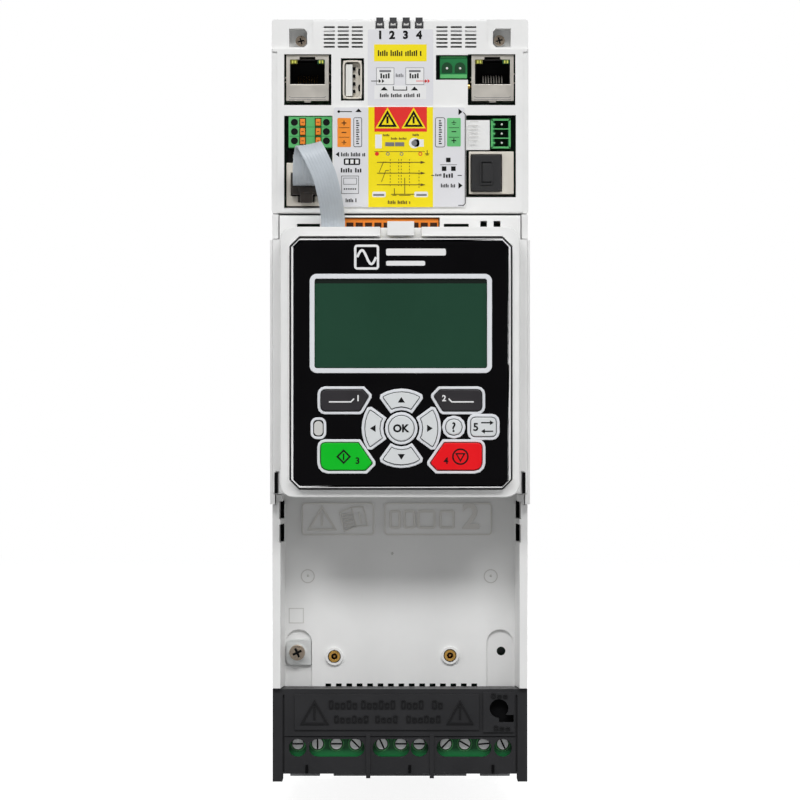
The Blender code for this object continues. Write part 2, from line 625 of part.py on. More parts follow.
def make_modbus_terminal():
    """A spring-cage terminal: three rows of a wire hole and a release lever on each side."""
    block = part("modbus_terminal", GREEN, box((-42.2, -25.8), (-165.4, CONNECTOR_BACK), (95.7, 107.5)))
    rows = (98.2, 101.7, 105.2)
    cut(block, *[rod("Y", (x, z), 1.35, (-167, -155), 12) for x in (-40.0, -27.9) for z in rows])
    cut(block, *[box((x - 1.25, x + 1.25), (-167, -156), (z - 1.6, z + 1.6))
                 for x in (-36.9, -31.0) for z in rows])
    for side, x in (("left", -36.9), ("right", -31.0)):
        for row, z in enumerate(rows, start=1):
            lever = part(f"release_lever_{side}_{row}", ORANGE,
                         box((x - 0.95, x + 0.95), (-166.0, -158.4), (z - 1.3, z + 1.3)))
            pivot(lever, x, -162.0, z)


def make_light_pipes():
    """Four clear-grey light pipes on one bar behind the front wall."""
    pipes = part("light_pipes", BLACK, box((-9.1, 8.7), (-163.1, -158.3), (137.6, 140.3)))
    for x in (-7.65, -2.6, 2.35, 7.25):
        join(pipes, box((x - 1.35, x + 1.35), (-163.1, -158.3), (139.0, 144.4)))
        join(pipes, box((x - 1.35, x + 1.35), (-166.3, -160.0), (141.0, 144.9)))


# The ribbon's route: centre, and direction across its width.
RIBBON_HALF = 4.5
RIBBON_THICK = 1.5
RIBBON_ROUTE = (
    ((-36.0, -167.6, 81.6), (1, 0, 0)),
    ((-36.0, -171.8, 82.2), (1, 0, 0)),
    ((-36.0, -174.4, 84.8), (1, 0, 0)),
    ((-35.9, -175.6, 88.6), (1, 0, 0.02)),
    ((-35.5, -176.6, 92.6), (1, 0, 0.08)),
    ((-34.8, -178.7, 95.3), (1, 0, 0.16)),
    ((-34.0, -181.4, 95.6), (1, 0, 0.20)),
    ((-32.9, -183.4, 93.9), (1, 0, 0.27)),
    ((-31.3, -184.4, 90.8), (1, 0, 0.33)),
    ((-28.6, -184.0, 84.9), (1, 0, 0.36)),
    ((-26.9, -181.6, 78.6), (1, 0, 0.22)),
    ((-25.7, -176.6, 72.2), (1, 0, 0.05)),
    ((-25.3, -172.0, 67.6), (1, 0, 0)),
    ((-25.3, -170.1, 63.0), (1, 0, 0)),
    ((-25.3, -170.0, 57.6), (1, 0, 0)),
)


def smooth_route(stations, steps):
    """Points of a Catmull-Rom curve through the stations, and the directions between them."""
    dense = []
    count = len(stations)
    for i in range(count - 1):
        near = [stations[max(0, min(count - 1, i + k))] for k in (-1, 0, 1, 2)]
        for step in range(steps):
            t = step / steps
            weights = ((-t + 2 * t * t - t ** 3) / 2, (2 - 5 * t * t + 3 * t ** 3) / 2,
                       (t + 4 * t * t - 3 * t ** 3) / 2, (-t * t + t ** 3) / 2)
            centre = sum((Vector(n[0]) * w for n, w in zip(near, weights)), Vector())
            across = sum((Vector(n[1]) * w for n, w in zip(near, weights)), Vector())
            dense.append((centre, across.normalized()))
    dense.append((Vector(stations[-1][0]), Vector(stations[-1][1]).normalized()))
    return dense


def make_ribbon():
    """The flat cable from the keypad jack's plug over to the keypad carrier, and the plug."""
    shape = bmesh.new()
    rows = []
    for centre, across in smooth_route(RIBBON_ROUTE, 2):
        rows.append([shape.verts.new((centre + across * RIBBON_HALF * side) * MM) for side in (-1, 1)])
    for lower, upper in zip(rows, rows[1:]):
        shape.faces.new((lower[0], lower[1], upper[1], upper[0]))
    made = bpy.data.meshes.new("ribbon_cable")
    shape.to_mesh(made)
    shape.free()
    made.materials.append(RIBBON)
    cable = bpy.data.objects.new("ribbon_cable", made)
    PARTS.objects.link(cable)
    skin = cable.modifiers.new("thickness", "SOLIDIFY")
    skin.thickness = RIBBON_THICK * MM
    skin.offset = 0.0
    plug = part("ribbon_plug", BLACK, box((-41.1, -29.7), (-166.9, -151.0), (77.7, 85.9)))
    join(plug, box((-38.0, -33.0), (-166.4, -155.0), (75.4, 78.0)))


# Small hardware.

def make_hardware():
    tab_x, tab_z, corner = (-43.6, -34.1), (-101.6, -92.0), 2.2
    outline = [(tab_x[1], tab_z[0]), (tab_x[1], tab_z[1])]
    outline += arc(tab_x[0] + corner, tab_z[1] - corner, corner, 90, 180, 4)
    outline += arc(tab_x[0] + corner, tab_z[0] + corner, corner, 180, 270, 4)
    tab = part("earth_tab", STEEL, slab(outline, (FLOOR + 1.0, FLOOR - 0.2)))
    join(tab, rod("Y", EARTH, 3.4, (FLOOR, FLOOR - 1.0)))
    screw = part("earth_screw", STEEL, rod("Y", EARTH, 2.8, (FLOOR - 1.3, FLOOR - 3.6), 20, 2.5))
    arm, slot, slot_y = 2.2, 0.4, (FLOOR - 2.4, FLOOR - 6)
    x, z = EARTH
    cut(screw, box((x - arm, x + arm), slot_y, (z - slot, z + slot)))
    cut(screw, box((x - slot, x + slot), slot_y, (z - arm, z + arm)))
    for name, place in INSERTS.items():
        insert = part(name, BRASS, rod("Y", place, 2.15, (FLOOR - 1.3, FLOOR + 5)))
        cut(insert, rod("Y", place, 1.25, (FLOOR - 3, FLOOR + 7), 12))
    for name, x, z in (("cover_screw_left", -37.6, 136.3), ("cover_screw_right", 37.7, 136.5)):
        head = part(name, STEEL, rod("Y", (x, z), 2.2, (WELL_FLOOR - GAP, WELL_FLOOR - 2.7), 16))
        arm, slot, slot_y = 1.5, 0.35, (WELL_FLOOR - 1.7, WELL_FLOOR - 5)
        cut(head, box((x - arm, x + arm), slot_y, (z - slot, z + slot)))
        cut(head, box((x - slot, x + slot), slot_y, (z - arm, z + arm)))


# Keypad and its carrier.

def make_carrier():
    """The fixed frame that the keypad clips into; the ribbon enters behind its top edge."""
    outer = rounded((-45.0, 44.9), (-36.6, 65.0), 5.0)
    carrier = part("keypad_carrier", SHELL, slab(outer, (CARRIER_FACE, CARRIER_BACK)))
    round_edges(carrier, 1.8)
    pocket = chamfered((-41.5, 42.2), (-33.7, 61.5), CASE_CHAMFER + 0.5)
    cut(carrier, slab(pocket, (CARRIER_FACE - 2, CARRIER_FLOOR)))
    cut(carrier, box((-31.0, -19.6), (CARRIER_BACK - 3.2, CARRIER_BACK + 2), (56.6, 67)))
    cut(carrier, box((-7.4, 8.0), (CARRIER_FACE - 2, CARRIER_FLOOR + 0.5), (61.0, 67)))
    cut(carrier, box((-12.0, 12.0), (CARRIER_FLOOR - 2, CARRIER_BACK + 2), (-8, 2)))
    latch = part("keypad_latch", SHELL, box((-4.8, 5.3), (-186.0, CARRIER_FLOOR - GAP), (62.4, 64.6)))
    join(latch, box((-4.8, 5.3), (-187.4, -185.0), (61.7, 67.0)))
    pivot(latch, 0.25, CARRIER_FLOOR - GAP, 63.5)


def limits(centre, half):
    return (centre - half, centre + half)


def widened(pair, margin=GAP):
    return (pair[0] - margin, pair[1] + margin)


def make_keypad():
    x = limits(KEYPAD_X, KEYPAD_HALF[0])
    z = limits(KEYPAD_Z, KEYPAD_HALF[1])
    case = part("keypad_case", SHELL, slab(chamfered(x, z, CASE_CHAMFER), (KEYPAD_FACE, KEYPAD_BACK)))
    panel_x = limits(KEYPAD_X, PANEL_HALF[0])
    panel_z = limits(KEYPAD_Z, PANEL_HALF[1])
    cut(case, slab(chamfered(widened(panel_x), widened(panel_z), PANEL_CHAMFER),
                   (KEYPAD_FACE - 2, KEYPAD_BACK - 1.7)))
    panel = part("keypad_panel", PANEL,
                 slab(chamfered(panel_x, panel_z, PANEL_CHAMFER), (PANEL_FACE, PANEL_BACK)))
    cut(panel, slab(rounded(LCD_X, LCD_Z, 1.2, 2), (PANEL_FACE - 2, PANEL_BACK + 1)))
    for outline in key_outlines(KEY_RIM - KEY_CLEARANCE).values():
        cut(panel, slab(outline, (PANEL_FACE - 2, PANEL_BACK + 1)))
    lcd = part("lcd_module", LCD, box((-34.2, 34.8), (-186.8, -181.6), (9.6, 47.6)))
    join(lcd, slab(rounded(widened(LCD_X, -GAP), widened(LCD_Z, -GAP), 1.0, 2), (-188.3, -186)))
    part("keypad_board", BOARD, box((-38.3, 38.9), (-181.3, -179.7), (-30.5, 58.4)))
    looks = {"button_start": KEY_GREEN, "button_stop": KEY_RED, "button_soft_left": KEY_DARK,
             "button_soft_right": KEY_DARK}
    for name, outline in key_outlines(KEY_RIM).items():
        key = part(name, looks.get(name, KEY_GREY), slab(outline, (KEY_FACE, -183.2)))
        low = [min(point[i] for point in outline) for i in (0, 1)]
        high = [max(point[i] for point in outline) for i in (0, 1)]
        pivot(key, (low[0] + high[0]) / 2, KEY_FACE, (low[1] + high[1]) / 2)


make_heatsink()
make_fan()
make_rear_housing()
make_front_housing()
make_power_section()
make_upper_cover()
make_middle_cover()
make_terminal_cover()
make_connectors()
make_ribbon()
make_hardware()
make_carrier()
make_keypad()
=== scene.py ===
"""Looks of the servo drive: camera, light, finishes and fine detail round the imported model.

Lengths are in millimetres unless a name ends in _m. +Z is up and the front faces -Y.
"""
import json
import math

import bmesh
import bpy
from mathutils import Matrix, Vector


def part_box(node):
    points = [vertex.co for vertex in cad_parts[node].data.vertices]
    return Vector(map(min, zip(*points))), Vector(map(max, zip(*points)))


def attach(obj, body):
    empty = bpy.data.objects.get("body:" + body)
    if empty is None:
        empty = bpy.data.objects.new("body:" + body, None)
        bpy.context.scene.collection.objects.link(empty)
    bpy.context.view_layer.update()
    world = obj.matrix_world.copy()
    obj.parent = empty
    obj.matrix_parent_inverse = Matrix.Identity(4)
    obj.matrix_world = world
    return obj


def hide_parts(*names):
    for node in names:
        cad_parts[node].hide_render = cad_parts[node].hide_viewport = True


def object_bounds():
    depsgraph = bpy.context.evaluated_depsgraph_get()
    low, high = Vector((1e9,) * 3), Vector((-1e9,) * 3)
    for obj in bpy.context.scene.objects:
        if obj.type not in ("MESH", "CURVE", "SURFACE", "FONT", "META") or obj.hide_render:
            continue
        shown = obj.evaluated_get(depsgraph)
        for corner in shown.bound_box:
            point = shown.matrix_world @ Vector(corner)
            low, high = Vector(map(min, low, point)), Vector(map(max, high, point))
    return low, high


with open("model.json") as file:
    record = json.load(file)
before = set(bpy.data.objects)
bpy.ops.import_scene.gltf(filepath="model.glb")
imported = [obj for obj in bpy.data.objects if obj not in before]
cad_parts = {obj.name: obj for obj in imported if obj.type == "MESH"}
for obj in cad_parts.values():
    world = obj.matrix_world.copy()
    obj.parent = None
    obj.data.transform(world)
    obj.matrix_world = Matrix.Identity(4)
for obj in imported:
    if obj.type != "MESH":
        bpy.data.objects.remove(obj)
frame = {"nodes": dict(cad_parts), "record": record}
CAD_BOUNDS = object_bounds()
NODES = frame["nodes"]
MM = 0.001


# ---- camera, light and floor

CAMERA_DISTANCE_M = 2.166
LENS_MM = 237.6
FRONT_M = (0.0, -0.15, 0.0)


def area_light(name, place_m, size_m, power, target_m=FRONT_M):
    lamp = bpy.data.lights.new(name, "AREA")
    lamp.shape = "RECTANGLE"
    lamp.size, lamp.size_y = size_m
    lamp.energy = power
    holder = bpy.data.objects.new(name, lamp)
    bpy.context.scene.collection.objects.link(holder)
    holder.location = place_m
    direction = Vector(target_m) - holder.location
    holder.rotation_euler = direction.to_track_quat("-Z", "Y").to_euler()


def split_by_camera(tree, hidden, seen, output):
    """Joins one shader for the rays of the camera and another for all other rays."""
    ray = tree.nodes.new("ShaderNodeLightPath")
    choose = tree.nodes.new("ShaderNodeMixShader")
    tree.links.new(ray.outputs["Is Camera Ray"], choose.inputs[0])
    tree.links.new(hidden.outputs[0], choose.inputs[1])
    tree.links.new(seen.outputs[0], choose.inputs[2])
    tree.links.new(choose.outputs[0], tree.nodes[output].inputs["Surface"])


def make_stage():
    scene = bpy.context.scene
    scene.view_settings.view_transform = "Standard"
    view = bpy.data.cameras.new("camera")
    view.sensor_width = 36.0
    view.lens = LENS_MM
    view.clip_end = 50.0
    camera = bpy.data.objects.new("camera", view)
    scene.collection.objects.link(camera)
    camera.location = (0.0, -CAMERA_DISTANCE_M, 0.0)
    camera.rotation_euler = (math.pi / 2, 0.0, 0.0)
    scene.camera = camera

    world = bpy.data.worlds.new("studio")
    scene.world = world
    world.use_nodes = True
    backdrop = world.node_tree.nodes["Background"]
    backdrop.inputs["Color"].default_value = (1, 1, 1, 1)
    fill = world.node_tree.nodes.new("ShaderNodeBackground")
    fill.inputs["Color"].default_value = (0.96, 0.98, 1.0, 1)
    fill.inputs["Strength"].default_value = 0.16
    split_by_camera(world.node_tree, fill, backdrop, "World Output")

    for side in (-1, 1):
        area_light("key_softbox", (side * 0.75, -2.42, 1.9), (1.3, 0.6), 30.0)
    area_light("low_softbox", (0.0, -2.3, -0.72), (2.6, 0.45), 15.0)
    area_light("left_softbox", (-1.6, -0.9, 0.5), (0.5, 1.0), 4.5)
    area_light("right_softbox", (1.6, -0.9, 0.5), (0.5, 1.0), 5.5)
    area_light("back_softbox", (0.4, 1.6, 1.2), (1.2, 1.2), 14.0, (0.0, 0.0, 0.0))

    shape = bmesh.new()
    bmesh.ops.create_circle(shape, cap_ends=True, segments=64, radius=3.0)
    mesh = bpy.data.meshes.new("floor")
    shape.to_mesh(mesh)
    shape.free()
    floor = bpy.data.objects.new("floor", mesh)
    scene.collection.objects.link(floor)
    floor.location = (0.0, 0.0, CAD_BOUNDS[0].z - 0.0005)
    paper = bpy.data.materials.new("floor_paper")
    paper.use_nodes = True
    nodes, links = paper.node_tree.nodes, paper.node_tree.links
    shader = nodes["Principled BSDF"]
    shader.inputs["Base Color"].default_value = (0.4, 0.4, 0.4, 1)
    shader.inputs["Roughness"].default_value = 0.8
    glow = nodes.new("ShaderNodeEmission")
    glow.inputs["Strength"].default_value = 0.9
    seen = nodes.new("ShaderNodeAddShader")
    links.new(shader.outputs[0], seen.inputs[0])
    links.new(glow.outputs[0], seen.inputs[1])
    split_by_camera(paper.node_tree, shader, seen, "Material Output")
    mesh.materials.append(paper)


make_stage()


# ---- finishes

def linear(value):
    """The linear level of one colour value that is given from 0 to 255."""
    value /= 255.0
    return value / 12.92 if value <= 0.04045 else ((value + 0.055) / 1.055) ** 2.4


def look(name, colour, roughness, metallic=0.0, patch_mm=16.0, patch=0.03, grain_mm=0.45,
         grain=0.12, wear=0.06, stretch=(1.0, 1.0, 1.0), **sockets):
    """A finish with uneven colour over patches, uneven gloss and a fine moulded or drawn grain.

    The colour holds red, green and blue from 0 to 255.
    """
    made = bpy.data.materials.new(name)
    made.use_nodes = True
    nodes, links = made.node_tree.nodes, made.node_tree.links
    shader = nodes["Principled BSDF"]
    shader.inputs["Metallic"].default_value = metallic
    for socket, value in sockets.items():
        title = socket.replace("_", " ").title().replace("Ior", "IOR")
        shader.inputs[title].default_value = value

    def added(kind, **inputs):
        node = nodes.new(kind)
        for title, value in inputs.items():
            node.inputs[title.replace("_", " ")].default_value = value
        return node

    place = added("ShaderNodeTexCoord")
    scale = added("ShaderNodeMapping", Scale=[value / MM for value in stretch])
    links.new(place.outputs["Object"], scale.inputs["Vector"])

    def clouds(size_mm, detail):
        field = added("ShaderNodeTexNoise", Scale=1.0 / size_mm, Detail=detail)
        links.new(scale.outputs["Vector"], field.inputs["Vector"])
        return field.outputs["Fac"]

    def ranged(source, low, high):
        change = added("ShaderNodeMapRange", From_Min=0.3, From_Max=0.7, To_Min=low, To_Max=high)
        links.new(source, change.inputs["Value"])
        return change.outputs["Result"]

    broad, fine = clouds(patch_mm, 4.0), clouds(grain_mm, 2.0)
    both = nodes.new("ShaderNodeMath")
    both.operation = "MULTIPLY_ADD"
    both.inputs[1].default_value = 0.35
    links.new(fine, both.inputs[0])
    links.new(ranged(broad, 0.0, 0.65), both.inputs[2])
    mix = nodes.new("ShaderNodeMix")
    mix.data_type = "RGBA"
    levels = [linear(value) for value in colour]
    mix.inputs["A"].default_value = (*[level * (1 - patch) for level in levels], 1)
    mix.inputs["B"].default_value = (*[min(1.0, level * (1 + patch)) for level in levels], 1)
    links.new(both.outputs[0], mix.inputs["Factor"])
    links.new(mix.outputs["Result"], shader.inputs["Base Color"])
    links.new(ranged(broad, roughness - wear, roughness + wear), shader.inputs["Roughness"])
    bump = added("ShaderNodeBump", Strength=grain, Distance=0.05 * MM)
    links.new(fine, bump.inputs["Height"])
    links.new(bump.outputs["Normal"], shader.inputs["Normal"])
    return made


def ink(name, colour, patch=0.03, roughness=0.42, **sockets):
    return look(name, colour, roughness, patch=patch, grain=0.05, **sockets)


SHELL = look("shell_white", (243, 243, 242), 0.45)
CASE_WHITE = look("keypad_case_white", (254, 254, 254), 0.4)
# Light grey: the status window's own colour, and painted light and painted shade on thin flat marks
# elsewhere.
SHELL_GREY_PAINTED_LIGHT_AND_SHADE = look("shell_grey_painted_light_and_shade", (214, 213, 210), 0.5)
BLACK = look("black_moulding", (30, 30, 33), 0.48, patch=0.12, grain=0.25)
RUBBER = look("dust_plug_rubber", (26, 26, 28), 0.6, patch=0.15, grain=0.4, sheen_weight=0.15)
SMOKE = look("smoky_plug", (58, 52, 48), 0.25, patch=0.1, coat_weight=0.4)
PANEL = look("gloss_panel_black", (7, 6, 8), 0.2, patch=0.1, grain=0.02, wear=0.03,
             specular_ior_level=0.15)
LCD = look("lcd_green_glass", (32, 70, 52), 0.25, patch_mm=45.0, patch=0.10, grain=0.03,
           wear=0.03, specular_ior_level=0.3)
# Painted shadow: a dark band for the shadow that the window's frame casts on the recessed glass.
LCD_PAINTED_SHADOW = look("lcd_painted_shadow", (11, 24, 18), 0.25, patch=0.05, grain=0.02, wear=0.03)
GREEN = look("terminal_green_plastic", (92, 186, 110), 0.38, patch=0.05)
GREEN_DEEP = look("terminal_deep_green", (20, 120, 62), 0.38, patch=0.08)
# Dark green arches over the header's mouths: painted shade in the openings.
GREEN_PAINTED_SHADE = look("terminal_green_painted_shade", (4, 66, 30), 0.38, patch=0.08)
ORANGE = look("terminal_orange_plastic", (246, 140, 40), 0.38, patch=0.05)
SHIELD = look("tinned_shield", (240, 234, 224), 0.36, 0.8, patch_mm=5.0, patch=0.04, wear=0.05,
              grain_mm=0.3, grain=0.05)
SHIELD_BRIGHT = look("tinned_shield_bright", (236, 230, 218), 0.45, 0.35, patch_mm=5.0, patch=0.03,
                     wear=0.05, grain_mm=0.3, grain=0.05)
ZINC = look("zinc_plate", (244, 246, 245), 0.34, 0.55, patch_mm=3.0, patch=0.08, wear=0.08)
ALUMINIUM = look("extruded_aluminium", (200, 202, 205), 0.38, 1.0, patch=0.07, wear=0.08,
                 grain_mm=0.5, grain=0.3, stretch=(1.0, 1.0, 0.04))
BRASS = look("brass_knurl", (232, 182, 96), 0.36, 0.8, patch_mm=2.0, patch=0.12, wear=0.1)
NICKEL = look("dark_nickel", (190, 174, 156), 0.3, 0.9, patch_mm=2.0, patch=0.1)
GOLD = look("gold_contact", (226, 190, 110), 0.22, 1.0, patch_mm=1.0, patch=0.08)
BOARD = look("solder_mask", (16, 74, 48), 0.35, patch_mm=3.0, patch=0.3, grain_mm=0.8,
             grain=0.3, coat_weight=0.3)
CAN = look("capacitor_sleeve", (30, 34, 44), 0.35, patch=0.1, coat_weight=0.2)
RIBBON = look("ribbon_pvc", (198, 205, 212), 0.36, patch_mm=8.0, patch=0.05, grain=0.08)
KEY_PALE = look("key_pale_grey", (226, 229, 230), 0.42, patch=0.02, grain=0.06)
KEY_RIM = look("key_rim_silver", (234, 236, 240), 0.34, patch=0.03, grain=0.05)
KEY_DARK = look("key_dark_grey", (40, 37, 41), 0.4, patch=0.06, grain=0.06)
KEY_GREEN = look("key_start_green", (0, 196, 36), 0.42, patch=0.04, grain=0.06,
                 specular_ior_level=0.25)
KEY_RED = look("key_stop_red", (246, 8, 22), 0.42, patch=0.04, grain=0.06,
               specular_ior_level=0.3)
PIPE = look("light_pipe_smoke", (74, 74, 76), 0.2, patch=0.08, grain=0.03, coat_weight=0.5)
# Dark connector plastic, and painted shade in the wire holes of the spring-cage terminal.
DARK = look("connector_dark_and_painted_shade", (9, 9, 11), 0.5, patch=0.15, specular_ior_level=0.2)
WHITE_TONGUE = look("usb_tongue_white", (236, 236, 232), 0.4)
LED_YELLOW = look("led_yellow_green", (120, 118, 46), 0.22, patch=0.1, coat_weight=0.6)
LED_GREEN = look("led_green", (24, 84, 52), 0.22, patch=0.1, coat_weight=0.6)
LED_BRIGHT = look("lamp_spot", (214, 216, 96), 0.3, patch=0.05)
OVERLAY = look("overlay_lavender", (230, 230, 234), 0.4, patch=0.015, grain=0.05)
# Deep black for dark joints, and for painted shade at the bottoms of slots, holes and recesses.
DEEP_BLACK_AND_PAINTED_SHADE = look("deep_black_and_painted_shade", (8, 8, 10), 0.6, patch=0.1, specular_ior_level=0.1)
# Darker than the black cover, so the raised signs read as if in shade: painted shade.
BLACK_SIGN_PAINTED_SHADE = look("moulded_black_sign_painted_shade", (20, 20, 22), 0.5, patch=0.1, specular_ior_level=0.3)
# Light grey on the white bay floor, so the raised signs read as if in shade: painted shade.
SIGN_PAINTED_SHADE = look("moulded_sign", (226, 224, 220), 0.5, patch=0.03)
INK_BLACK = ink("ink_black", (14, 14, 15), 0.1, 0.5, specular_ior_level=0.2)
INK_WHITE = ink("ink_white", (240, 240, 240), 0.02, 0.45)
# Grey print on the film, and painted shade along the edges of the jacks' shells.
INK_GREY_AND_EDGE_SHADE = ink("ink_grey_and_painted_edge_shade", (120, 120, 124), 0.06, 0.5)
INK_YELLOW = ink("ink_yellow", (255, 232, 0), 0.02)
INK_RED = ink("ink_red", (236, 44, 36))
INK_ORANGE = ink("ink_orange", (250, 148, 40))
INK_GREEN = ink("ink_green", (104, 196, 120))
# Dark brown blocks in the wire entries: painted shade in the openings.
ENTRY_PAINTED_SHADE = look("wire_entry_painted_shade", (64, 36, 16), 0.5, patch=0.1, specular_ior_level=0.2)
# Brown print for the wiring sketch, and painted shade for the slots in the levers.
INK_BROWN_AND_SLOT_SHADE = ink("ink_brown_and_painted_slot_shade", (86, 62, 12), 0.1, 0.5)

SLOT_LOOKS = {
    "shell_plastic": SHELL, "black_plastic": BLACK, "dust_plug_rubber": RUBBER,
    "ribbon_plug_plastic": SMOKE, "gloss_panel": PANEL, "lcd_glass": LCD, "terminal_green": GREEN,
    "terminal_orange": ORANGE, "shield_metal": SHIELD, "zinc_steel": ZINC, "aluminium": ALUMINIUM,
    "brass": BRASS, "circuit_board": BOARD, "capacitor_can": CAN, "ribbon_grey": RIBBON,
    "key_grey": KEY_PALE, "key_dark": KEY_DARK, "key_green": KEY_GREEN, "key_red": KEY_RED,
}
NODE_LOOKS = {
    "mains_terminal": GREEN_DEEP, "dc_bus_terminal": GREEN_DEEP, "motor_terminal": GREEN_DEEP,
    "light_pipes": PIPE, "can_header": GREEN_DEEP, "two_pin_header": GREEN_DEEP,
    "termination_switch": DARK, "power_module": DARK, "keypad_case": CASE_WHITE,
    "lan_jack": SHIELD_BRIGHT, "keypad_jack": SHIELD_BRIGHT,
}
EDGE_WIDTHS = {
    "upper_cover": 0.25, "middle_cover": 0.25, "front_housing": 0.25, "keypad_carrier": 0.3,
    "keypad_case": 0.25, "keypad_panel": 0.25, "terminal_cover": 0.35, "lan_dust_plug": 0.8,
}
KEY_EDGE = 0.45
DEFAULT_EDGE = 0.2


def soften(thing, width, segments=2, angle_deg=35.0):
    """Rounds the edges a little, as a mould does, and keeps the flats flat."""
    edge = thing.modifiers.new("edge", "BEVEL")
    edge.width = width * MM
    edge.segments = segments
    edge.limit_method = "ANGLE"
    edge.angle_limit = math.radians(angle_deg)
    edge.harden_normals = True
    flat = thing.modifiers.new("flats", "WEIGHTED_NORMAL")
    flat.keep_sharp = False


def dress_nodes():
    """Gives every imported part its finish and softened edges."""
    slots = {part["node"]: part["material_slot"] for part in frame["record"]["subparts"]}
    for name, node in NODES.items():
        finish = NODE_LOOKS.get(name, SLOT_LOOKS[slots[name]])
        for held in node.material_slots:
            held.material = finish
        weld = node.modifiers.new("weld", "WELD")
        weld.merge_threshold = 0.001 * MM
        planes = node.modifiers.new("planes", "DECIMATE")
        planes.decimate_type = "DISSOLVE"
        planes.angle_limit = math.radians(0.4)
        width = KEY_EDGE if name.startswith("button_") else EDGE_WIDTHS.get(name, DEFAULT_EDGE)
        soften(node, width, 3 if name.startswith("button_") else 2)


dress_nodes()


# ---- outlines in X and Z

def arc(x, z, radius, start_deg, end_deg, steps):
    turn = math.radians(end_deg - start_deg) / steps
    first = math.radians(start_deg)
    return [(x + radius * math.cos(first + turn * i), z + radius * math.sin(first + turn * i))
            for i in range(steps + 1)]


def circle(x, z, radius, sides=32):
    return arc(x, z, radius, 0, 360 - 360 / sides, sides - 1)


def rect(x, z):
    return [(x[0], z[0]), (x[1], z[0]), (x[1], z[1]), (x[0], z[1])]


def bar(x, z, half_width, half_height):
    """A rectangle round a middle point."""
    return rect((x - half_width, x + half_width), (z - half_height, z + half_height))


def rounded(x, z, radius, steps=5):
    left, right = x[0] + radius, x[1] - radius
    low, high = z[0] + radius, z[1] - radius
    return (arc(right, high, radius, 0, 90, steps) + arc(left, high, radius, 90, 180, steps)
            + arc(left, low, radius, 180, 270, steps) + arc(right, low, radius, 270, 360, steps))


def triangle(x, z, width, height, turn_deg=0.0):
    """A triangle round a middle point, that points up unless turned."""
    turn = Matrix.Rotation(math.radians(turn_deg), 2)
    corners = ((-width / 2, -height / 2), (width / 2, -height / 2), (0.0, height / 2))
    return [tuple(Vector((x, z)) + turn @ Vector(corner)) for corner in corners]


def grown(points, distance):
    """A closed anticlockwise outline moved outwards by the same distance everywhere."""
    moved = []
    for i, here in enumerate(points):
        before, after = Vector(points[i - 1]), Vector(points[(i + 1) % len(points)])
        here = Vector(here)
        first, second = (here - before).normalized(), (after - here).normalized()
        outward = Vector((first.y + second.y, -first.x - second.x)).normalized()
        share = max(0.35, outward.dot(Vector((first.y, -first.x))))
        moved.append(tuple(here + outward * distance / share))
    return moved


def stroke(points, width):
    """The outline of a line of even width through the points."""
    sides = [[], []]
    for i, here in enumerate(points):
        here = Vector(here)
        ahead = Vector(points[min(i + 1, len(points) - 1)]) - here
        behind = here - Vector(points[max(i - 1, 0)])
        first = (behind if behind.length else ahead).normalized()
        second = (ahead if ahead.length else behind).normalized()
        normal = Vector((-first.y - second.y, first.x + second.x)).normalized()
        reach = width / 2 / max(0.4, normal.dot(Vector((-first.y, first.x))))
        sides[0].append(tuple(here - normal * reach))
        sides[1].append(tuple(here + normal * reach))
    return sides[0] + sides[1][::-1]


# ---- shapes: each adds to a bmesh

def block(x, y, z):
    def add(shape):
        size = Vector((abs(x[1] - x[0]), abs(y[1] - y[0]), abs(z[1] - z[0]))) * MM
        middle = Vector((sum(x), sum(y), sum(z))) * MM / 2
        bmesh.ops.create_cube(
            shape, size=1.0, matrix=Matrix.Translation(middle) @ Matrix.Diagonal((*size, 1.0)))
    return add


def prism(outline, y, inner=None):
    """An outline extruded in depth; inner is an outline of as many points, left open."""
    def add(shape):
        rows = []
        for depth in y:
            for points in (outline, inner) if inner else (outline,):
                rows.append([shape.verts.new((px * MM, depth * MM, pz * MM)) for px, pz in points])
        count = len(outline)
        if inner:
            front_out, front_in, back_out, back_in = rows
            for i in range(count):
                j = (i + 1) % count
                shape.faces.new((front_out[i], front_out[j], front_in[j], front_in[i]))
                shape.faces.new((back_out[i], back_in[i], back_in[j], back_out[j]))
                shape.faces.new((front_out[i], back_out[i], back_out[j], front_out[j]))
                shape.faces.new((front_in[i], front_in[j], back_in[j], back_in[i]))
            return
        front, back = rows
        shape.faces.new(front)
        shape.faces.new(back[::-1])
        for i in range(count):
            j = (i + 1) % count
            shape.faces.new((front[i], back[i], back[j], front[j]))
    return add


def turned(x, z, profile, sides=24):
    """A closed solid turned about an axis along Y; profile lists radius and depth."""
    def add(shape):
        rings = [[shape.verts.new((px * MM, depth * MM, pz * MM))
                  for px, pz in circle(x, z, radius, sides)] for radius, depth in profile]
        for near, far in zip(rings, rings[1:]):
            for i in range(sides):
                j = (i + 1) % sides
                shape.faces.new((near[i], far[i], far[j], near[j]))
        shape.faces.new(rings[0])
        shape.faces.new(rings[-1][::-1])
    return add


def tube(shape, rings):
    """Joins rings of as many points into a closed solid."""
    count = len(rings[0])
    for near, far in zip(rings, rings[1:]):
        for i in range(count):
            j = (i + 1) % count
            shape.faces.new((near[i], near[j], far[j], far[i]))
    shape.faces.new(rings[0][::-1])
    shape.faces.new(rings[-1])


def wire(points, radius, sides=8):
    """A round bar along points in space."""
    def add(shape):
        places = [Vector(point) for point in points]
        rings = []
        for i, here in enumerate(places):
            along = (places[min(i + 1, len(places) - 1)] - places[max(i - 1, 0)]).normalized()
            across = along.orthogonal() if i == 0 else (across - along * across.dot(along))
            across.normalize()
            up = along.cross(across)
            turns = [2 * math.pi * k / sides for k in range(sides)]
            spokes = [(across * math.cos(turn) + up * math.sin(turn)) * radius for turn in turns]
            rings.append([shape.verts.new((here + spoke) * MM) for spoke in spokes])
        tube(shape, rings)
    return add


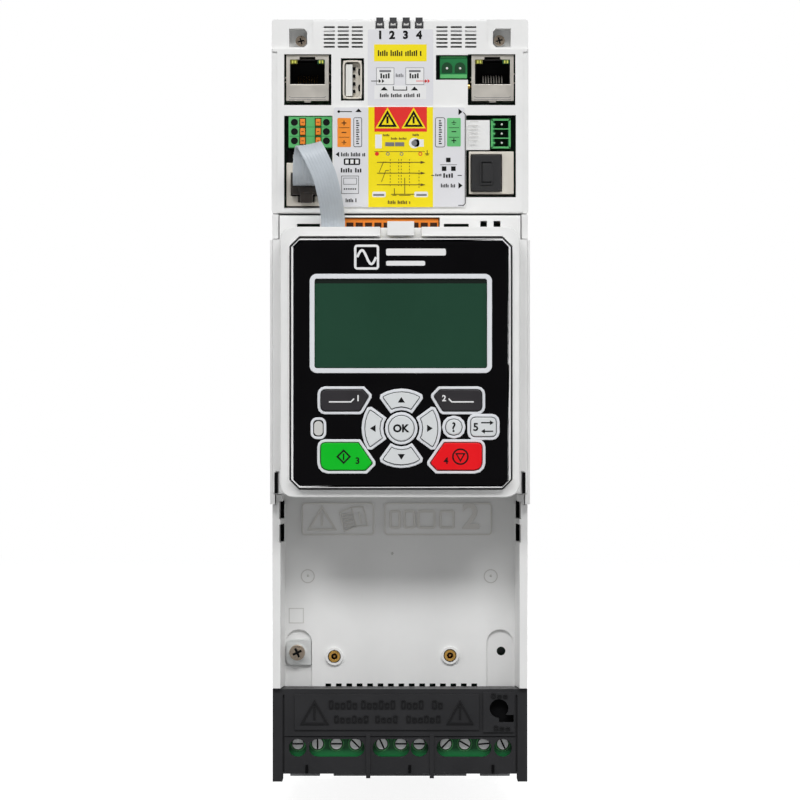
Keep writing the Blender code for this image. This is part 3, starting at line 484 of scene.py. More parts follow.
def numeral(text, x, z, height, y, bold=0.0):
    """Raised numerals or a key's sign, set round a middle point."""
    def add(shape):
        curve = bpy.data.curves.new("numeral", "FONT")
        curve.body = text
        curve.align_x, curve.align_y = "CENTER", "CENTER"
        curve.size = height * 1.4 * MM
        curve.extrude = abs(y[1] - y[0]) / 2 * MM
        curve.offset = bold * MM
        curve.resolution_u = 3
        holder = bpy.data.objects.new("numeral", curve)
        bpy.context.scene.collection.objects.link(holder)
        bpy.context.view_layer.update()
        flat = bpy.data.meshes.new_from_object(
            holder.evaluated_get(bpy.context.evaluated_depsgraph_get()))
        across, upward = [[vert.co[i] for vert in flat.vertices] for i in (0, 1)]
        centre = Vector(((max(across) + min(across)) / 2, (max(upward) + min(upward)) / 2, 0))
        flat.transform(Matrix.Translation(Vector((x, sum(y) / 2, z)) * MM)
                       @ Matrix.Rotation(math.pi / 2, 4, "X") @ Matrix.Translation(-centre))
        start = len(shape.verts)
        shape.from_mesh(flat)
        shape.verts.ensure_lookup_table()
        bmesh.ops.remove_doubles(shape, verts=shape.verts[start:], dist=1e-7)
        bpy.data.objects.remove(holder, do_unlink=True)
    return add


def hollow(outline, wall, y):
    """A closed wall that follows an outline on its inner side."""
    return prism(outline, y, grown(outline, -wall))


def piece(name, finish, shapes, body="root", edge=0.0, smooth_deg=35.0):
    """One named mesh made of shapes, riding a body and showing a finish."""
    shape = bmesh.new()
    for add in shapes:
        add(shape)
    bmesh.ops.recalc_face_normals(shape, faces=shape.faces)
    mesh = bpy.data.meshes.new(name)
    shape.to_mesh(mesh)
    shape.free()
    mesh.shade_smooth()
    mesh.set_sharp_from_angle(angle=math.radians(smooth_deg))
    mesh.materials.append(finish)
    made = bpy.data.objects.new(name, mesh)
    bpy.context.scene.collection.objects.link(made)
    if edge:
        soften(made, edge)
    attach(made, body)
    return made


def layer(surface, level):
    """The depths of one layer of print on a surface."""
    return surface + 0.02, surface - 0.035 * (level + 1)


def sheets(outlines, surface, level):
    """Printed areas on a surface."""
    return [prism(outline, layer(surface, level)) for outline in outlines]


def ring(outline, width, surface, level):
    """A printed line of even width on the inner side of an outline."""
    return hollow(outline, width, layer(surface, level))


def limits(node):
    """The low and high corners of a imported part."""
    low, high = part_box(node)
    return low / MM, high / MM


def centre_of(node):
    """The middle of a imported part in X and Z."""
    low, high = limits(node)
    return (low.x + high.x) / 2, (low.z + high.z) / 2


# ---- printed overlay

FIELD_Y = limits("upper_cover")[0].y
COVER_Y = FIELD_Y + 0.7
FILM_THICKNESS = 0.08
WARNING_X = (-4.75, 5.15)
NODE_Z = 93.2
PORT_ARROW_Z = 120.8
PORT_LINE = (120.7, 120.95)


def ticks(x, z, height, pitch=0.62):
    """A row of plain marks in place of a line of words."""
    marks, at, i = [], x[0], 0
    while at + pitch * 0.6 <= x[1]:
        if i % 7 != 5:
            tall = height * (1.0, 0.72, 0.86)[i % 3]
            marks.append(rect((at, at + pitch * 0.62), (z - height / 2, z - height / 2 + tall)))
        at += pitch
        i += 1
    return marks


def arrow(x, z, length=1.5, head=0.45):
    """A line from left to right with a solid head."""
    return [rect((x[0], x[1] - length), (z - 0.13, z + 0.13)),
            [(x[1] - length, z - head), (x[1], z), (x[1] - length, z + head)]]


def double_heads(first, second):
    """Two small solid heads in a row, that point right."""
    return [triangle(x, PORT_ARROW_Z, 1.5, 0.9, -90) for x in (first, second)]


def earth_mark(x, z, size):
    """An upright line that ends in two lying ones."""
    return [rect((x - 0.12, x + 0.12), (z, z + size)),
            rect((x - size * 0.6, x + size * 0.6), (z - 0.1, z + 0.12)),
            rect((x - size * 0.35, x + size * 0.35), (z - 0.5, z - 0.3))]


def make_overlay():
    """The film on the module's front and its prints, each in one colour."""
    # A wide lower field, and a narrow one that reaches the top of the cover.
    film = FILM_THICKNESS
    lower = rounded((-25.0, 24.4), (73.2, 110.8), 0.6)
    upper = rounded((-12.2, 12.6), (111.6, 140.4), 0.5)
    piece("overlay_film", OVERLAY, [prism(lower, (FIELD_Y + 0.02, FIELD_Y - film)),
                                    prism(upper, (COVER_Y + 0.02, COVER_Y - film))])
    low, top = FIELD_Y - film, COVER_Y - film

    signs = [triangle(x, 106.65, 8.0, 6.9) for x in WARNING_X]
    piece("overlay_yellow", INK_YELLOW,
          sheets([rect((-12.0, 12.5), (73.0, 110.9))], low, 0)
          + sheets([rect((-9.8, 10.1), (128.3, 134.7))], top, 0)
          + sheets([grown(sign, 0.35) for sign in signs], low, 2))
    piece("overlay_red", INK_RED,
          sheets([rect((-9.7, 10.2), (101.6, 111.0))], low, 1)
          + sheets([rect((6.1, 10.1), PORT_LINE), *double_heads(9.9, 10.9)], top, 1)
          + [ring(circle(x, NODE_Z, 0.75, 16), 0.3, low, 2) for x in (-8.75, 7.7)]
          + sheets([circle(-8.75, NODE_Z, 0.5, 16)], low, 3))

    black = sheets([triangle(-15.7, 109.7, 2.4, 1.3), triangle(-23.7, 93.0, 2.0, 1.3, 90),
                    triangle(22.9, 109.1, 2.4, 1.5, -90), triangle(22.9, 81.2, 2.4, 1.5, -90)], low, 1)
    black += [ring(grown(sign, -0.2), 0.8, low, 3) for sign in signs]
    black += [ring(rounded((-17.6, -14.4), (95.8, 107.0), 0.6), 0.2, low, 1),
              ring(rounded((13.3, 17.1), (95.7, 107.0), 0.8), 0.2, low, 1)]
    black += sheets([*ticks((-22.3, -13.0), 93.0, 1.5), *ticks((-22.4, -14.6), 87.0, 1.7, 0.9),
                     *ticks((-20.6, -16.0), 75.6, 1.4), *ticks((15.5, 21.4), 81.2, 1.4),
                     *ticks((13.4, 16.0), 85.2, 0.9), *ticks((16.4, 20.6), 85.0, 1.7, 1.0),
                     rect((11.8, 13.0), (84.9, 85.2)), rect((21.8, 23.4), (84.9, 85.2))], low, 1)
    for i in range(11):
        z = 96.9 + 0.86 * i
        black += sheets([rect((x, x + (1.1, 0.8, 1.2)[i % 3]), (z, z + 0.42)) for x in (-16.6, 14.7)], low, 1)
    # Legends beside the terminals: plus, minus and earth marks.
    for x, rows in ((-21.2, (104.9, 101.3, 97.6)), (20.4, (98.2, 101.6, 105.0))):
        plus, minus, earth = rows
        black += sheets([bar(x, plus, 0.9, 0.18), rect((x - 0.18, x + 0.18), (plus + 0.2, plus + 0.9)),
                         rect((x - 0.18, x + 0.18), (plus - 0.9, plus - 0.2)), bar(x, minus, 0.9, 0.18),
                         rect((x - 0.15, x + 0.15), (earth, earth + 0.8)),
                         rect((x - 0.9, x + 0.9), (earth - 0.15, earth + 0.1)),
                         rect((x - 0.45, x + 0.45), (earth - 0.75, earth - 0.5)),
                         *[bar(x, z, 2.0, 0.09) for z in (99.5, 103.1)]], low, 2)
    # A switch with three positions, a plug, a network, a line with a dot, and a bracket at the right.
    black += sheets([rounded((-21.3, -15.1), (89.0, 91.5), 0.5)], low, 1)
    black += [ring(rect((-22.2, -15.6), (78.1, 84.9)), 0.16, low, 1),
              ring(rect((-21.4, -16.4), (81.6, 84.1)), 0.14, low, 1)]
    bracket = [(24.0, 109.0), (24.7, 108.2), (24.7, 74.4), (24.0, 73.7), (22.0, 73.7)]
    black += sheets([*[circle(-21.0 + 0.82 * i, 79.9, 0.3, 10) for i in range(6)],
                     *[bar(x, z, 0.85, 0.85) for x, z in ((18.3, 90.9), (16.7, 87.6), (20.2, 87.6))],
                     rect((15.2, 21.6), (89.0, 89.15)), stroke([(-23.4, 109.2), (-18.2, 109.2)], 0.3),
                     circle(-23.2, 109.2, 0.5, 12), stroke(bracket, 0.28)], low, 1)
    for number, pipe_x in zip("1234", (-7.5, -3.0, 2.1, 7.2)):
        black.append(numeral(number, pipe_x, 138.3, 2.9, layer(top, 0), 0.22))
    black += sheets(ticks((-8.4, 8.6), 131.4, 2.2, 0.8), top, 1)
    black += sheets([*ticks((-7.6, 7.6), 115.4, 1.4, 0.7), *ticks((-7.4, -3.6), 122.8, 1.9, 0.95),
                     *ticks((3.6, 7.6), 122.8, 1.9, 0.95),
                     *[triangle(x, 118.0, 2.7, 1.4) for x in (-6.0, 5.5)],
                     stroke([(-2.5, 118.8), (-2.5, 117.4), (2.5, 117.4), (2.5, 118.8)], 0.35)], top, 2)
    black += sheets([rect((-10.9, -7.4), PORT_LINE), *double_heads(-7.6, -6.4)], top, 1)
    black += sheets([rect((x - 0.4, x + 0.4), (104.7, 107.4)) for x in WARNING_X], low, 3)
    piece("overlay_black", INK_BLACK, black)

    ports = [rect(x, (119.4, 125.9)) for x in ((-9.0, -2.2), (2.1, 9.1))]
    plugs = [rounded(x, (76.8, 78.9), 0.5) for x in ((-10.5, -5.4), (5.4, 10.6))]
    piece("overlay_white", INK_WHITE,
          sheets([rect((-9.7, 9.9), (114.0, 119.1)), *ports], top, 0)
          + sheets([rect((-9.4, -6.9), (95.3, 100.5)), *plugs, circle(5.4, 97.3, 2.0, 20),
                    rect((5.4, 9.0), (95.9, 98.7))], low, 1)
          + sheets([rect((x, x + 1.2), (89.5, 91.0)) for x in (-20.7, -18.8, -16.9)], low, 2))
    piece("overlay_grey", INK_GREY_AND_EDGE_SHADE,
          [ring(port, 0.16, top, 1) for port in ports]
          + sheets([rect((x - 2.2, x + 2.2), (124.2, 125.0)) for x in (-5.6, 5.6)], top, 1)
          + sheets(ticks((-1.6, 1.7), 123.0, 1.3), top, 2)
          + sheets([rect((-5.6, -2.2), (96.1, 97.6)), rect((-1.9, 1.6), (96.1, 97.6)),
                    circle(5.4, 97.3, 1.1, 16), rect((-10.1, -6.0), (77.3, 78.0)),
                    rect((6.2, 10.1), (77.3, 78.0))], low, 3)
          + [ring(circle(x, NODE_Z, 0.7, 16), 0.25, low, 2) for x in (-4.6, 0.6)])

    # A plain wiring sketch on the yellow field.
    sketch = []
    for z in (90.0, 85.9, 81.5):
        sketch += arrow((-8.7, 9.6), z, 1.8, 0.5)
    for x, reach in ((-7.9, 3.9), (-7.0, 4.3)):
        z = 86.2 - (x + 7.9) * 4
        sketch.append(stroke([(x, z), (x + 1.6, z + reach), (x + 2.8, z + reach)], 0.2))
    for x in (-3.7, -0.5, 0.5, 3.6, 7.2):
        z = 91.2 if x < 4 else 87.0
        while z > 80.4:
            sketch.append(rect((x - 0.1, x + 0.1), (z - 0.6, z)))
            z -= 1.2
    sketch += [rect((-9.8, 9.4), (94.0, 94.15)), *earth_mark(10.3, NODE_Z, 1.4),
               *earth_mark(-2.1, 77.9, 2.2), *earth_mark(1.8, 77.9, 6.2),
               *ticks((-4.6, 4.4), 74.9, 1.3), *ticks((-3.4, 3.2), 99.0, 0.8, 0.5),
               *ticks((-6.4, -3.4), 100.3, 0.8, 0.5), *ticks((4.8, 8.0), 100.4, 0.8, 0.5)]
    piece("overlay_sketch", INK_BROWN_AND_SLOT_SHADE, sheets(sketch, low, 3))
    piece("overlay_orange", INK_ORANGE, sheets([rounded((-23.7, -18.6), (95.8, 106.8), 0.4)], low, 1))
    piece("overlay_green", INK_GREEN, sheets([rounded((17.8, 23.0), (96.0, 106.8), 0.4)], low, 1))


make_overlay()


# ---- keypad

PANEL_Y = limits("keypad_panel")[0].y
RIM_GAP, RIM_WIDTH = 0.25, 1.1


def front_outline(node):
    """The outline of a key's front face, anticlockwise, in order."""
    mesh = NODES[node].data
    front = min(vert.co.y for vert in mesh.vertices)
    uses = {}
    for face in mesh.polygons:
        verts = [mesh.vertices[i] for i in face.vertices]
        if all(abs(vert.co.y - front) < 0.01 * MM for vert in verts):
            keys = [(round(vert.co.x * 1e6), round(vert.co.z * 1e6)) for vert in verts]
            for a, b in zip(keys, keys[1:] + keys[:1]):
                uses[(a, b)] = True
    follow = {a: b for a, b in uses if (b, a) not in uses}
    start = next(iter(follow))
    loop, here = [start], follow[start]
    while here != start:
        loop.append(here)
        here = follow[here]
    points = [(x / 1000.0, z / 1000.0) for x, z in loop]
    turning = sum(a[0] * b[1] - b[0] * a[1] for a, b in zip(points, points[1:] + points[:1]))
    return points if turning > 0 else points[::-1]


def make_keys():
    """A silver rim round every key, and the sign on its face."""
    keys = sorted(name for name in NODES if name.startswith("button_"))
    rims = []
    for key in keys:
        outline = front_outline(key)
        inner = grown(outline, RIM_GAP)
        rims.append(prism(grown(inner, RIM_WIDTH), (PANEL_Y + 0.3, PANEL_Y - 0.75), inner))
    piece("key_rims", KEY_RIM, rims, "keypad", 0.25)

    face = limits("button_ok")[0].y
    ink = (face + 0.02, face - 0.03)

    for way, shift_x, shift_z, turn_deg in (("up", 0, 0.3, 0), ("down", 0, -0.3, 180),
                                            ("left", -0.3, 0, 90), ("right", 0.3, 0, -90)):
        key = f"button_{way}"
        x, z = centre_of(key)
        piece(f"arrow_{way}", INK_BLACK,
              [prism(triangle(x + shift_x, z + shift_z, 2.7, 2.1, turn_deg), ink)], key)
    x, z = centre_of("button_ok")
    piece("ok_sign", INK_BLACK, [numeral("OK", x, z, 2.8, ink, 0.17)], "button_ok")
    x, z = centre_of("button_help")
    piece("help_sign", INK_BLACK, [numeral("?", x, z, 3.6, ink, 0.1)], "button_help")
    x, z = centre_of("button_local_remote")
    piece("swap_sign", INK_BLACK, [
        numeral("5", x - 2.9, z, 2.9, ink, 0.12),
        prism(stroke([(x - 0.9, z + 1.6), (x + 2.6, z + 1.6)], 0.5), ink),
        prism(triangle(x + 3.1, z + 1.6, 1.8, 1.4, -90), ink),
        prism(stroke([(x + 0.4, z - 1.6), (x + 3.6, z - 1.6)], 0.5), ink),
        prism(triangle(x - 0.2, z - 1.6, 1.8, 1.4, 90), ink)], "button_local_remote")
    piece("soft_left_sign", INK_WHITE, [
        prism(stroke([(-26.6, -0.7), (-18.4, -0.7), (-17.2, 0.5)], 0.5), ink),
        numeral("1", -15.7, 0.7, 2.2, ink, 0.1)], "button_soft_left")
    piece("soft_right_sign", INK_WHITE, [
        prism(stroke([(18.2, 0.5), (19.4, -0.7), (27.6, -0.7)], 0.5), ink),
        numeral("2", 16.5, 0.7, 2.2, ink, 0.1)], "button_soft_right")
    x, z = -21.1, -21.2
    diamond = [(x, z - 2.8), (x + 2.8, z), (x, z + 2.8), (x - 2.8, z)]
    piece("start_sign", INK_BLACK, [
        hollow(diamond, 0.65, ink), prism(bar(x, z, 0.28, 1.2), ink),
        numeral("3", -15.9, -22.7, 2.4, ink, 0.1)], "button_start")
    x, z = 22.6, -21.2
    piece("stop_sign", INK_BLACK, [
        prism(circle(x, z, 3.1, 36), ink, circle(x, z, 2.5, 36)),
        hollow(triangle(x, z - 0.35, 4.0, 3.4, 180), 0.5, ink),
        numeral("4", 17.2, -22.7, 2.4, ink, 0.1)], "button_stop")


def make_display():
    """The display's frame, a painted shadow band at the top of its glass and the small status window."""
    low, high = limits("lcd_module")
    window = rounded((low.x + 2.2, high.x - 2.2), (11.9, 45.4), 0.9)
    piece("display_frame", KEY_RIM, [prism(grown(window, 1.85), (PANEL_Y + 0.3, PANEL_Y - 0.3), window)],
          "keypad", 0.2)
    glass = low.y
    # The dark band across the top of the glass is a painted shadow of the frame above it.
    band = [(-32.0, 43.7), (32.6, 43.7), (32.6, 45.3), (-32.0, 45.3)]
    piece("display_painted_shadow", LCD_PAINTED_SHADOW, [prism(band, layer(glass, 0))], "keypad")
    # Status window to the left of the keys.
    outer = rounded((-33.5, -27.6), (-14.7, -6.5), 2.4)
    piece("status_rim", KEY_RIM, [hollow(outer, 1.0, (PANEL_Y + 0.3, PANEL_Y - 0.5))],
          "keypad", 0.2)
    lens = rounded((-32.2, -28.9), (-13.3, -7.9), 1.5)
    piece("status_window", SHELL_GREY_PAINTED_LIGHT_AND_SHADE, [prism(lens, (PANEL_Y + 0.2, PANEL_Y - 0.2))], "keypad",
          0.15)


def make_emblem():
    """A plain wave in a round-cornered square, and plain bars of two lengths, above the display."""
    ink = layer(PANEL_Y, 0)
    square = rounded((-17.2, -7.8), (48.8, 58.2), 1.2)
    wave = [(-16.0 + 0.35 * i, 53.5 + 2.6 * math.sin(0.35 * i / 7.0 * 2 * math.pi)) for i in range(21)]
    piece("emblem", INK_WHITE, [hollow(square, 0.9, ink), prism(stroke(wave, 0.9), ink)]
          + [prism(rounded(x, z, 0.6), ink)
             for x, z in (((-5.2, 17.2), (54.1, 56.7)), ((-5.2, 9.4), (50.3, 52.1)))], "keypad")


make_keys()
make_display()
make_emblem()


# ---- ribbon cable

RIBBON_HALF = 4.5
CORES = 8
RIBBON_ROUTE = (
    ((-36.0, -167.6, 81.6), (1, 0, 0)),
    ((-36.0, -171.8, 82.2), (1, 0, 0)),
    ((-36.0, -174.4, 84.8), (1, 0, 0)),
    ((-35.9, -175.6, 88.6), (1, 0, 0.02)),
    ((-35.5, -176.6, 92.6), (1, 0, 0.08)),
    ((-34.8, -178.7, 95.3), (1, 0, 0.16)),
    ((-34.0, -181.4, 95.6), (1, 0, 0.20)),
    ((-32.9, -183.4, 93.9), (1, 0, 0.27)),
    ((-31.3, -184.4, 90.8), (1, 0, 0.33)),
    ((-28.6, -184.0, 84.9), (1, 0, 0.36)),
    ((-26.9, -181.6, 78.6), (1, 0, 0.22)),
    ((-25.7, -176.6, 72.2), (1, 0, 0.05)),
    ((-25.3, -172.0, 67.6), (1, 0, 0)),
    ((-25.3, -170.1, 63.0), (1, 0, 0)),
    ((-25.3, -170.0, 57.6), (1, 0, 0)),
)


def smooth_route(stations, steps):
    """Middle points and directions across, on a curve through the stations."""
    dense = []
    count = len(stations)
    for i in range(count - 1):
        near = [stations[max(0, min(count - 1, i + k))] for k in (-1, 0, 1, 2)]
        for step in range(steps):
            t = step / steps
            weights = ((-t + 2 * t * t - t ** 3) / 2, (2 - 5 * t * t + 3 * t ** 3) / 2,
                       (t + 4 * t * t - 3 * t ** 3) / 2, (-t * t + t ** 3) / 2)
            dense.append([sum((Vector(n[k]) * w for n, w in zip(near, weights)), Vector()) for k in (0, 1)])
    dense.append([Vector(stations[-1][0]), Vector(stations[-1][1])])
    return dense


def make_ribbon():
    """A flat cable of round cores side by side, swept along the route."""
    pitch = 2 * RIBBON_HALF / CORES
    profile = []
    for side in (1, -1):
        for core in range(CORES)[::side]:
            middle = -RIBBON_HALF + pitch * (core + 0.5)
            for turn_deg in (160, 125, 90, 55, 20):
                angle = math.radians(turn_deg)
                profile.append((middle + pitch * 0.52 * math.cos(angle) * side,
                                side * (0.38 + 0.16 * math.sin(angle))))

    route = smooth_route(RIBBON_ROUTE, 8)

    def add(shape):
        rings = []
        for i, (centre, across) in enumerate(route):
            along = (route[min(i + 1, len(route) - 1)][0] - route[max(i - 1, 0)][0]).normalized()
            across = (across - along * across.dot(along)).normalized()
            up = across.cross(along)
            rings.append([shape.verts.new((centre + across * a + up * b) * MM) for a, b in profile])
        tube(shape, rings)

    ribbon = piece("ribbon", RIBBON, [add], "root", smooth_deg=60)
    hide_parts("ribbon_cable")


make_ribbon()


# ---- connectors

JACK_OPENING = (119.7, 129.0)
MODBUS_ROWS = (98.2, 101.7, 105.2)
CAN_ROWS = (97.5, 101.0, 104.5)
IO_PITCH = 3.52


def make_rj45(side):
    """The inside of a network jack: liner, contacts, lamps and the spring tabs of its shell."""
    name = f"rj45_{side}"
    low, high = limits(name)
    left, right = low.x + 1.35, high.x - 1.35
    bottom, top = JACK_OPENING
    front, wall = low.y, 0.35
    inside, deep = (left + 0.1, right - 0.1), (front + 0.6, front + 14)
    piece(f"{name}_liner", DARK, [
        block((left + 0.05, left + wall), deep, (bottom + 0.05, top - 0.05)),
        block((right - wall, right - 0.05), deep, (bottom + 0.05, top - 0.05)),
        block(inside, deep, (top - wall, top - 0.05)),
        block(inside, (front + 1.2, front + 14), (bottom + 0.05, bottom + wall)),
        block(inside, (front + 13.0, front + 14.2), (bottom + 0.1, top - 0.1))])
    middle = (left + right) / 2
    contacts = []
    for i in range(8):
        x = middle + (i - 3.5) * 1.02
        bends = ((2.2, 0.5), (4.4, 2.3), (9.5, 3.8), (12.8, 4.0))
        contacts.append(wire([(x, front + back, bottom + up) for back, up in bends], 0.22, 6))
    piece(f"{name}_contacts", GOLD if side == "left" else SHIELD, contacts)
    for end, finish, x in (("left", LED_YELLOW, (left + 0.1, left + 2.9)),
                           ("right", LED_GREEN, (right - 2.9, right - 0.1))):
        piece(f"{name}_lamp_{end}", finish,
              [block(x, (front + 0.3, front + 3.0), (top - 1.6, top + 0.3))], edge=0.15)
    # Shell seams, grey lines of painted shade along the latch's lip below the opening and the fold, and the
    # earthing springs at the sides.
    lip = [(left - 0.3, bottom - 4.7), (left + 0.6, bottom - 5.1),
           (right - 0.6, bottom - 5.1), (right + 0.3, bottom - 4.7)]
    fold = rect((left - 0.3, right + 0.3), (bottom - 5.9, bottom - 5.75))
    piece(f"{name}_seams", INK_GREY_AND_EDGE_SHADE, sheets([stroke(lip, 0.16), fold], front, 0))
    tabs = []
    for x, way, rows in ((low.x, -1, (1.0, 2.6)), (high.x, 1, (0.6, 4.0))):
        bends = ((0.05, 1.5), (0.35, 3.0), (0.1, 5.0))
        tabs += [wire([(x + way * out, front + back, bottom + up) for out, back in bends], 0.3, 6)
                 for up in rows]
    tabs.append(prism(rounded((middle - 1.3, middle + 1.3), (low.z - 0.55, low.z + 0.5), 0.3),
                      (front + 0.6, front + 1.0)))
    piece(f"{name}_springs", SHIELD, tabs)


def make_usb():
    """The rolled lip, tongue, springs and, as dark blocks of painted shade, the contacts of the USB port."""
    low, high = limits("usb_port")
    front = low.y
    outer = rounded((low.x - 0.1, high.x + 0.1), (low.z - 0.1, high.z + 0.1), 1.9)
    inner = rounded((low.x + 0.55, high.x - 0.55), (low.z + 0.55, high.z - 0.55), 1.3)
    piece("usb_lip", SHIELD_BRIGHT, [prism(outer, (front + 2.0, front - 0.15), inner)],
          edge=0.12)
    piece("usb_tongue", WHITE_TONGUE, [block((-20.6, -18.0), (front + 0.9, front + 10.0), (115.2, 127.3))],
          edge=0.2)
    back = block((-17.95, high.x - 0.6), (front + 2.6, front + 3.0), (low.z + 0.8, high.z - 0.8))
    piece("usb_floor", SHIELD_BRIGHT, [back])
    # The four dark blocks are painted shade for the shadowed contacts at the back of the port.
    contacts = [block((-17.9, -16.9), (front + 0.9, front + 2.7), (z - 0.6, z + 0.6))
                for z in (117.0, 119.9, 122.8, 125.6)]
    piece("usb_contact_painted_shade", DEEP_BLACK_AND_PAINTED_SHADE, contacts, edge=0.1)
    x, y = high.x - 0.9, front + 2.4
    springs = [wire([(x, y, z - 1.2), (x - 0.2, y - 0.2, z), (x, y, z + 1.2)], 0.3, 6)
               for z in (118.4, 124.4)]
    piece("usb_springs", DEEP_BLACK_AND_PAINTED_SHADE, springs)


def make_headers():
    """Lighter mouths and pins on the two pluggable headers."""
    low, high = limits("two_pin_header")
    front = low.y
    wide, tall = (low.x + 0.1, high.x - 0.1), (low.z + 0.1, high.z - 0.1)
    # The dark green arches are painted shade in the header's mouths over the pins.
    arches = [prism(arc(x, 126.0, 2.0, 0, 180, 12) + [(x - 2.0, 124.0), (x + 2.0, 124.0)],
                    (front - 0.05, front - 0.3)) for x in (17.85, 22.75)]
    piece("two_pin_body", GREEN_DEEP, [block(wide, (front + 0.5, front - 0.1), tall)],
          edge=0.15)
    piece("two_pin_arch_painted_shade", GREEN_PAINTED_SHADE, arches)
    piece("two_pin_rim", GREEN, [
        block(wide, (front + 0.5, front - 0.5), (low.z + 0.05, low.z + 1.5)),
        block((low.x + 0.4, high.x - 0.4), (front + 0.5, front - 0.2), (high.z - 0.5, high.z - 0.05))],
        edge=0.15)
    pin = [(0.25, front - 0.9), (0.45, front - 0.7), (0.45, front)]
    piece("two_pin_pins", WHITE_TONGUE, [turned(x, 125.7, pin, 12) for x in (17.8, 22.8)])
    low, high = limits("can_header")
    front = low.y
    mouth = rounded((low.x + 0.05, high.x - 0.05), (low.z + 0.05, high.z - 0.05), 0.3)
    ribs = [block((low.x + 0.5, high.x - 0.7), (front + 0.5, front - 0.1), (z - 0.22, z + 0.22))
            for z in (99.25, 102.75)]
    ribs += [block((low.x + 0.6, low.x + 1.7), (front + 0.5, front - 0.1), (z - 0.35, z + 0.35))
             for z in CAN_ROWS]
    piece("can_rim", GREEN, [hollow(mouth, 0.75, (front + 0.5, front - 0.12)), *ribs],
          edge=0.1)
    pin = [(0.2, front + 0.6), (0.42, front + 0.9), (0.42, front + 9.0)]
    piece("can_pins", WHITE_TONGUE, [turned(38.6, z, pin, 12) for z in CAN_ROWS])


def make_module_details():
    """Bright spots in the jacks' lamps, lighter lower facets on the light pipes as painted light, a solder
    bead and the faint moulding of a blank plate as painted shade.
    """
    spots = []
    for side in ("left", "right"):
        low, high = limits(f"rj45_{side}")
        for x in (low.x + 2.9, high.x - 2.9):
            spots += [block((x + shift - 0.3, x + shift + 0.3), (low.y - 0.02, low.y + 0.4), (127.6, 128.7))
                      for shift in (-0.5, 0.5)]
    piece("lamp_spots", LED_BRIGHT, spots, edge=0.08)
    # Painted light: thin light-grey sheets make the lower facets of the light pipes look lit.
    low = limits("light_pipes")[0]
    z = low.z + 4.3
    painted_light_facets = [prism([(x - 0.95, z + 0.9), (x - 0.95, z), (x + 0.95, z), (x + 0.95, z + 0.9), (x, z + 0.5)],
                    (low.y + 0.05, low.y - 0.02)) for x in (-7.65, -2.6, 2.35, 7.25)]
    piece("pipe_painted_light_facets", SHELL_GREY_PAINTED_LIGHT_AND_SHADE, painted_light_facets)
    bead = [(0.3, -163.9), (0.75, -163.7), (0.9, -163.2), (0.9, -161.5)]
    piece("solder_bead", GOLD, [turned(25.9, 118.8, bead, 16)])
    # Painted shade: light-grey lines stand for the faint relief of the moulding on the blank plate.
    edge_x = limits("can_header")[0].x
    rows = ((0.6, 105.2), (0, 103.8), (0.4, 102.4), (0, 101.0), (0.6, 99.6), (0, 98.2))
    lines = [prism(rect((edge_x - 8.6 + shift, edge_x - 5.0 + shift / 2), (z, z + 0.3)),
                   (FIELD_Y + 0.02, FIELD_Y - 0.12)) for shift, z in rows]
    piece("plate_marks_painted_shade", SHELL_GREY_PAINTED_LIGHT_AND_SHADE, lines)


def make_modbus():
    """Painted shade: dark discs in the wire holes of the spring-cage terminal, and dark bars for the slots in
    its levers.
    """
    front = limits("modbus_terminal")[0].y
    holes = [turned(x, z, [(1.3, front + 0.35), (1.3, front + 0.6)], 24)
             for x in (-40.0, -27.9) for z in MODBUS_ROWS]
    piece("modbus_hole_painted_shade", DARK, holes)
    seams = [rect((-41.9, -26.1), (z - 0.09, z + 0.09)) for z in (99.95, 103.45)]
    piece("modbus_seams", GREEN_DEEP, sheets(seams, front, 0))
    # Each lever's slot is a thin dark bar: painted shade.
    for side, x in (("left", -36.9), ("right", -31.0)):
        for row, z in enumerate(MODBUS_ROWS, start=1):
            lever = f"release_lever_{side}_{row}"
            piece(f"{lever}_slot", INK_BROWN_AND_SLOT_SHADE, sheets([bar(x, z, 0.45, 0.14)], limits(lever)[0].y, 0), lever)


def make_io_terminal():
    """The row of wire entries under the orange strip, one for each pole, as dark blocks of painted shade, and
    the ribs between them.
    """
    low, high = limits("io_terminal")
    front, at = low.y, low.x + 1.2
    entries, ribs = [], []
    while at + 2.6 < high.x:
        entries.append(block((at - 0.1, at + 2.6), (front - 0.12, front + 0.4), (63.7, 67.2)))
        ribs.append(block((at + 2.75, at + 3.1), (front - 0.15, front + 0.3), (58.6, 68.5)))
        at += IO_PITCH
    piece("io_entry_painted_shade", ENTRY_PAINTED_SHADE, entries, edge=0.15)
    piece("io_ribs", ORANGE, ribs, edge=0.1)


def make_lan_jack():
    """The outlined grip on the dust plug."""
    front = limits("lan_dust_plug")[0].y
    x, z = centre_of("lan_dust_plug")
    grip = rounded((x - 2.4, x + 2.4), (z - 4.6, z + 4.6), 0.6)
    piece("dust_plug_grip", RUBBER, [hollow(grip, 0.5, (front + 1.0, front - 0.02))],
          "lan_dust_plug", 0.15)


def make_keypad_jack():
    """The smoky latch of the ribbon's plug."""
    front = limits("ribbon_plug")[0].y
    x = centre_of("ribbon_plug")[0]
    piece("plug_latch", SMOKE, [
        prism(rounded((x - 2.3, x + 2.3), (74.6, 79.4), 0.5), (front + 0.4, front - 0.5)),
        prism(rounded((x - 3.0, x + 3.0), (78.4, 80.6), 0.4), (front + 0.4, front - 0.9))],
        edge=0.2)


for jack_side in ("left", "right"):
    make_rj45(jack_side)
make_usb()
make_headers()
make_module_details()
make_modbus()
make_io_terminal()
make_lan_jack()
make_keypad_jack()


# ---- screws and bay

def screw_disc(x, z, radius, front, depth):
    """The disc under a screw's head."""
    return turned(x, z, [(radius * 0.98, front + depth * 0.55), (radius, front + depth * 0.6),
                         (radius, front + depth * 1.6)], 28)


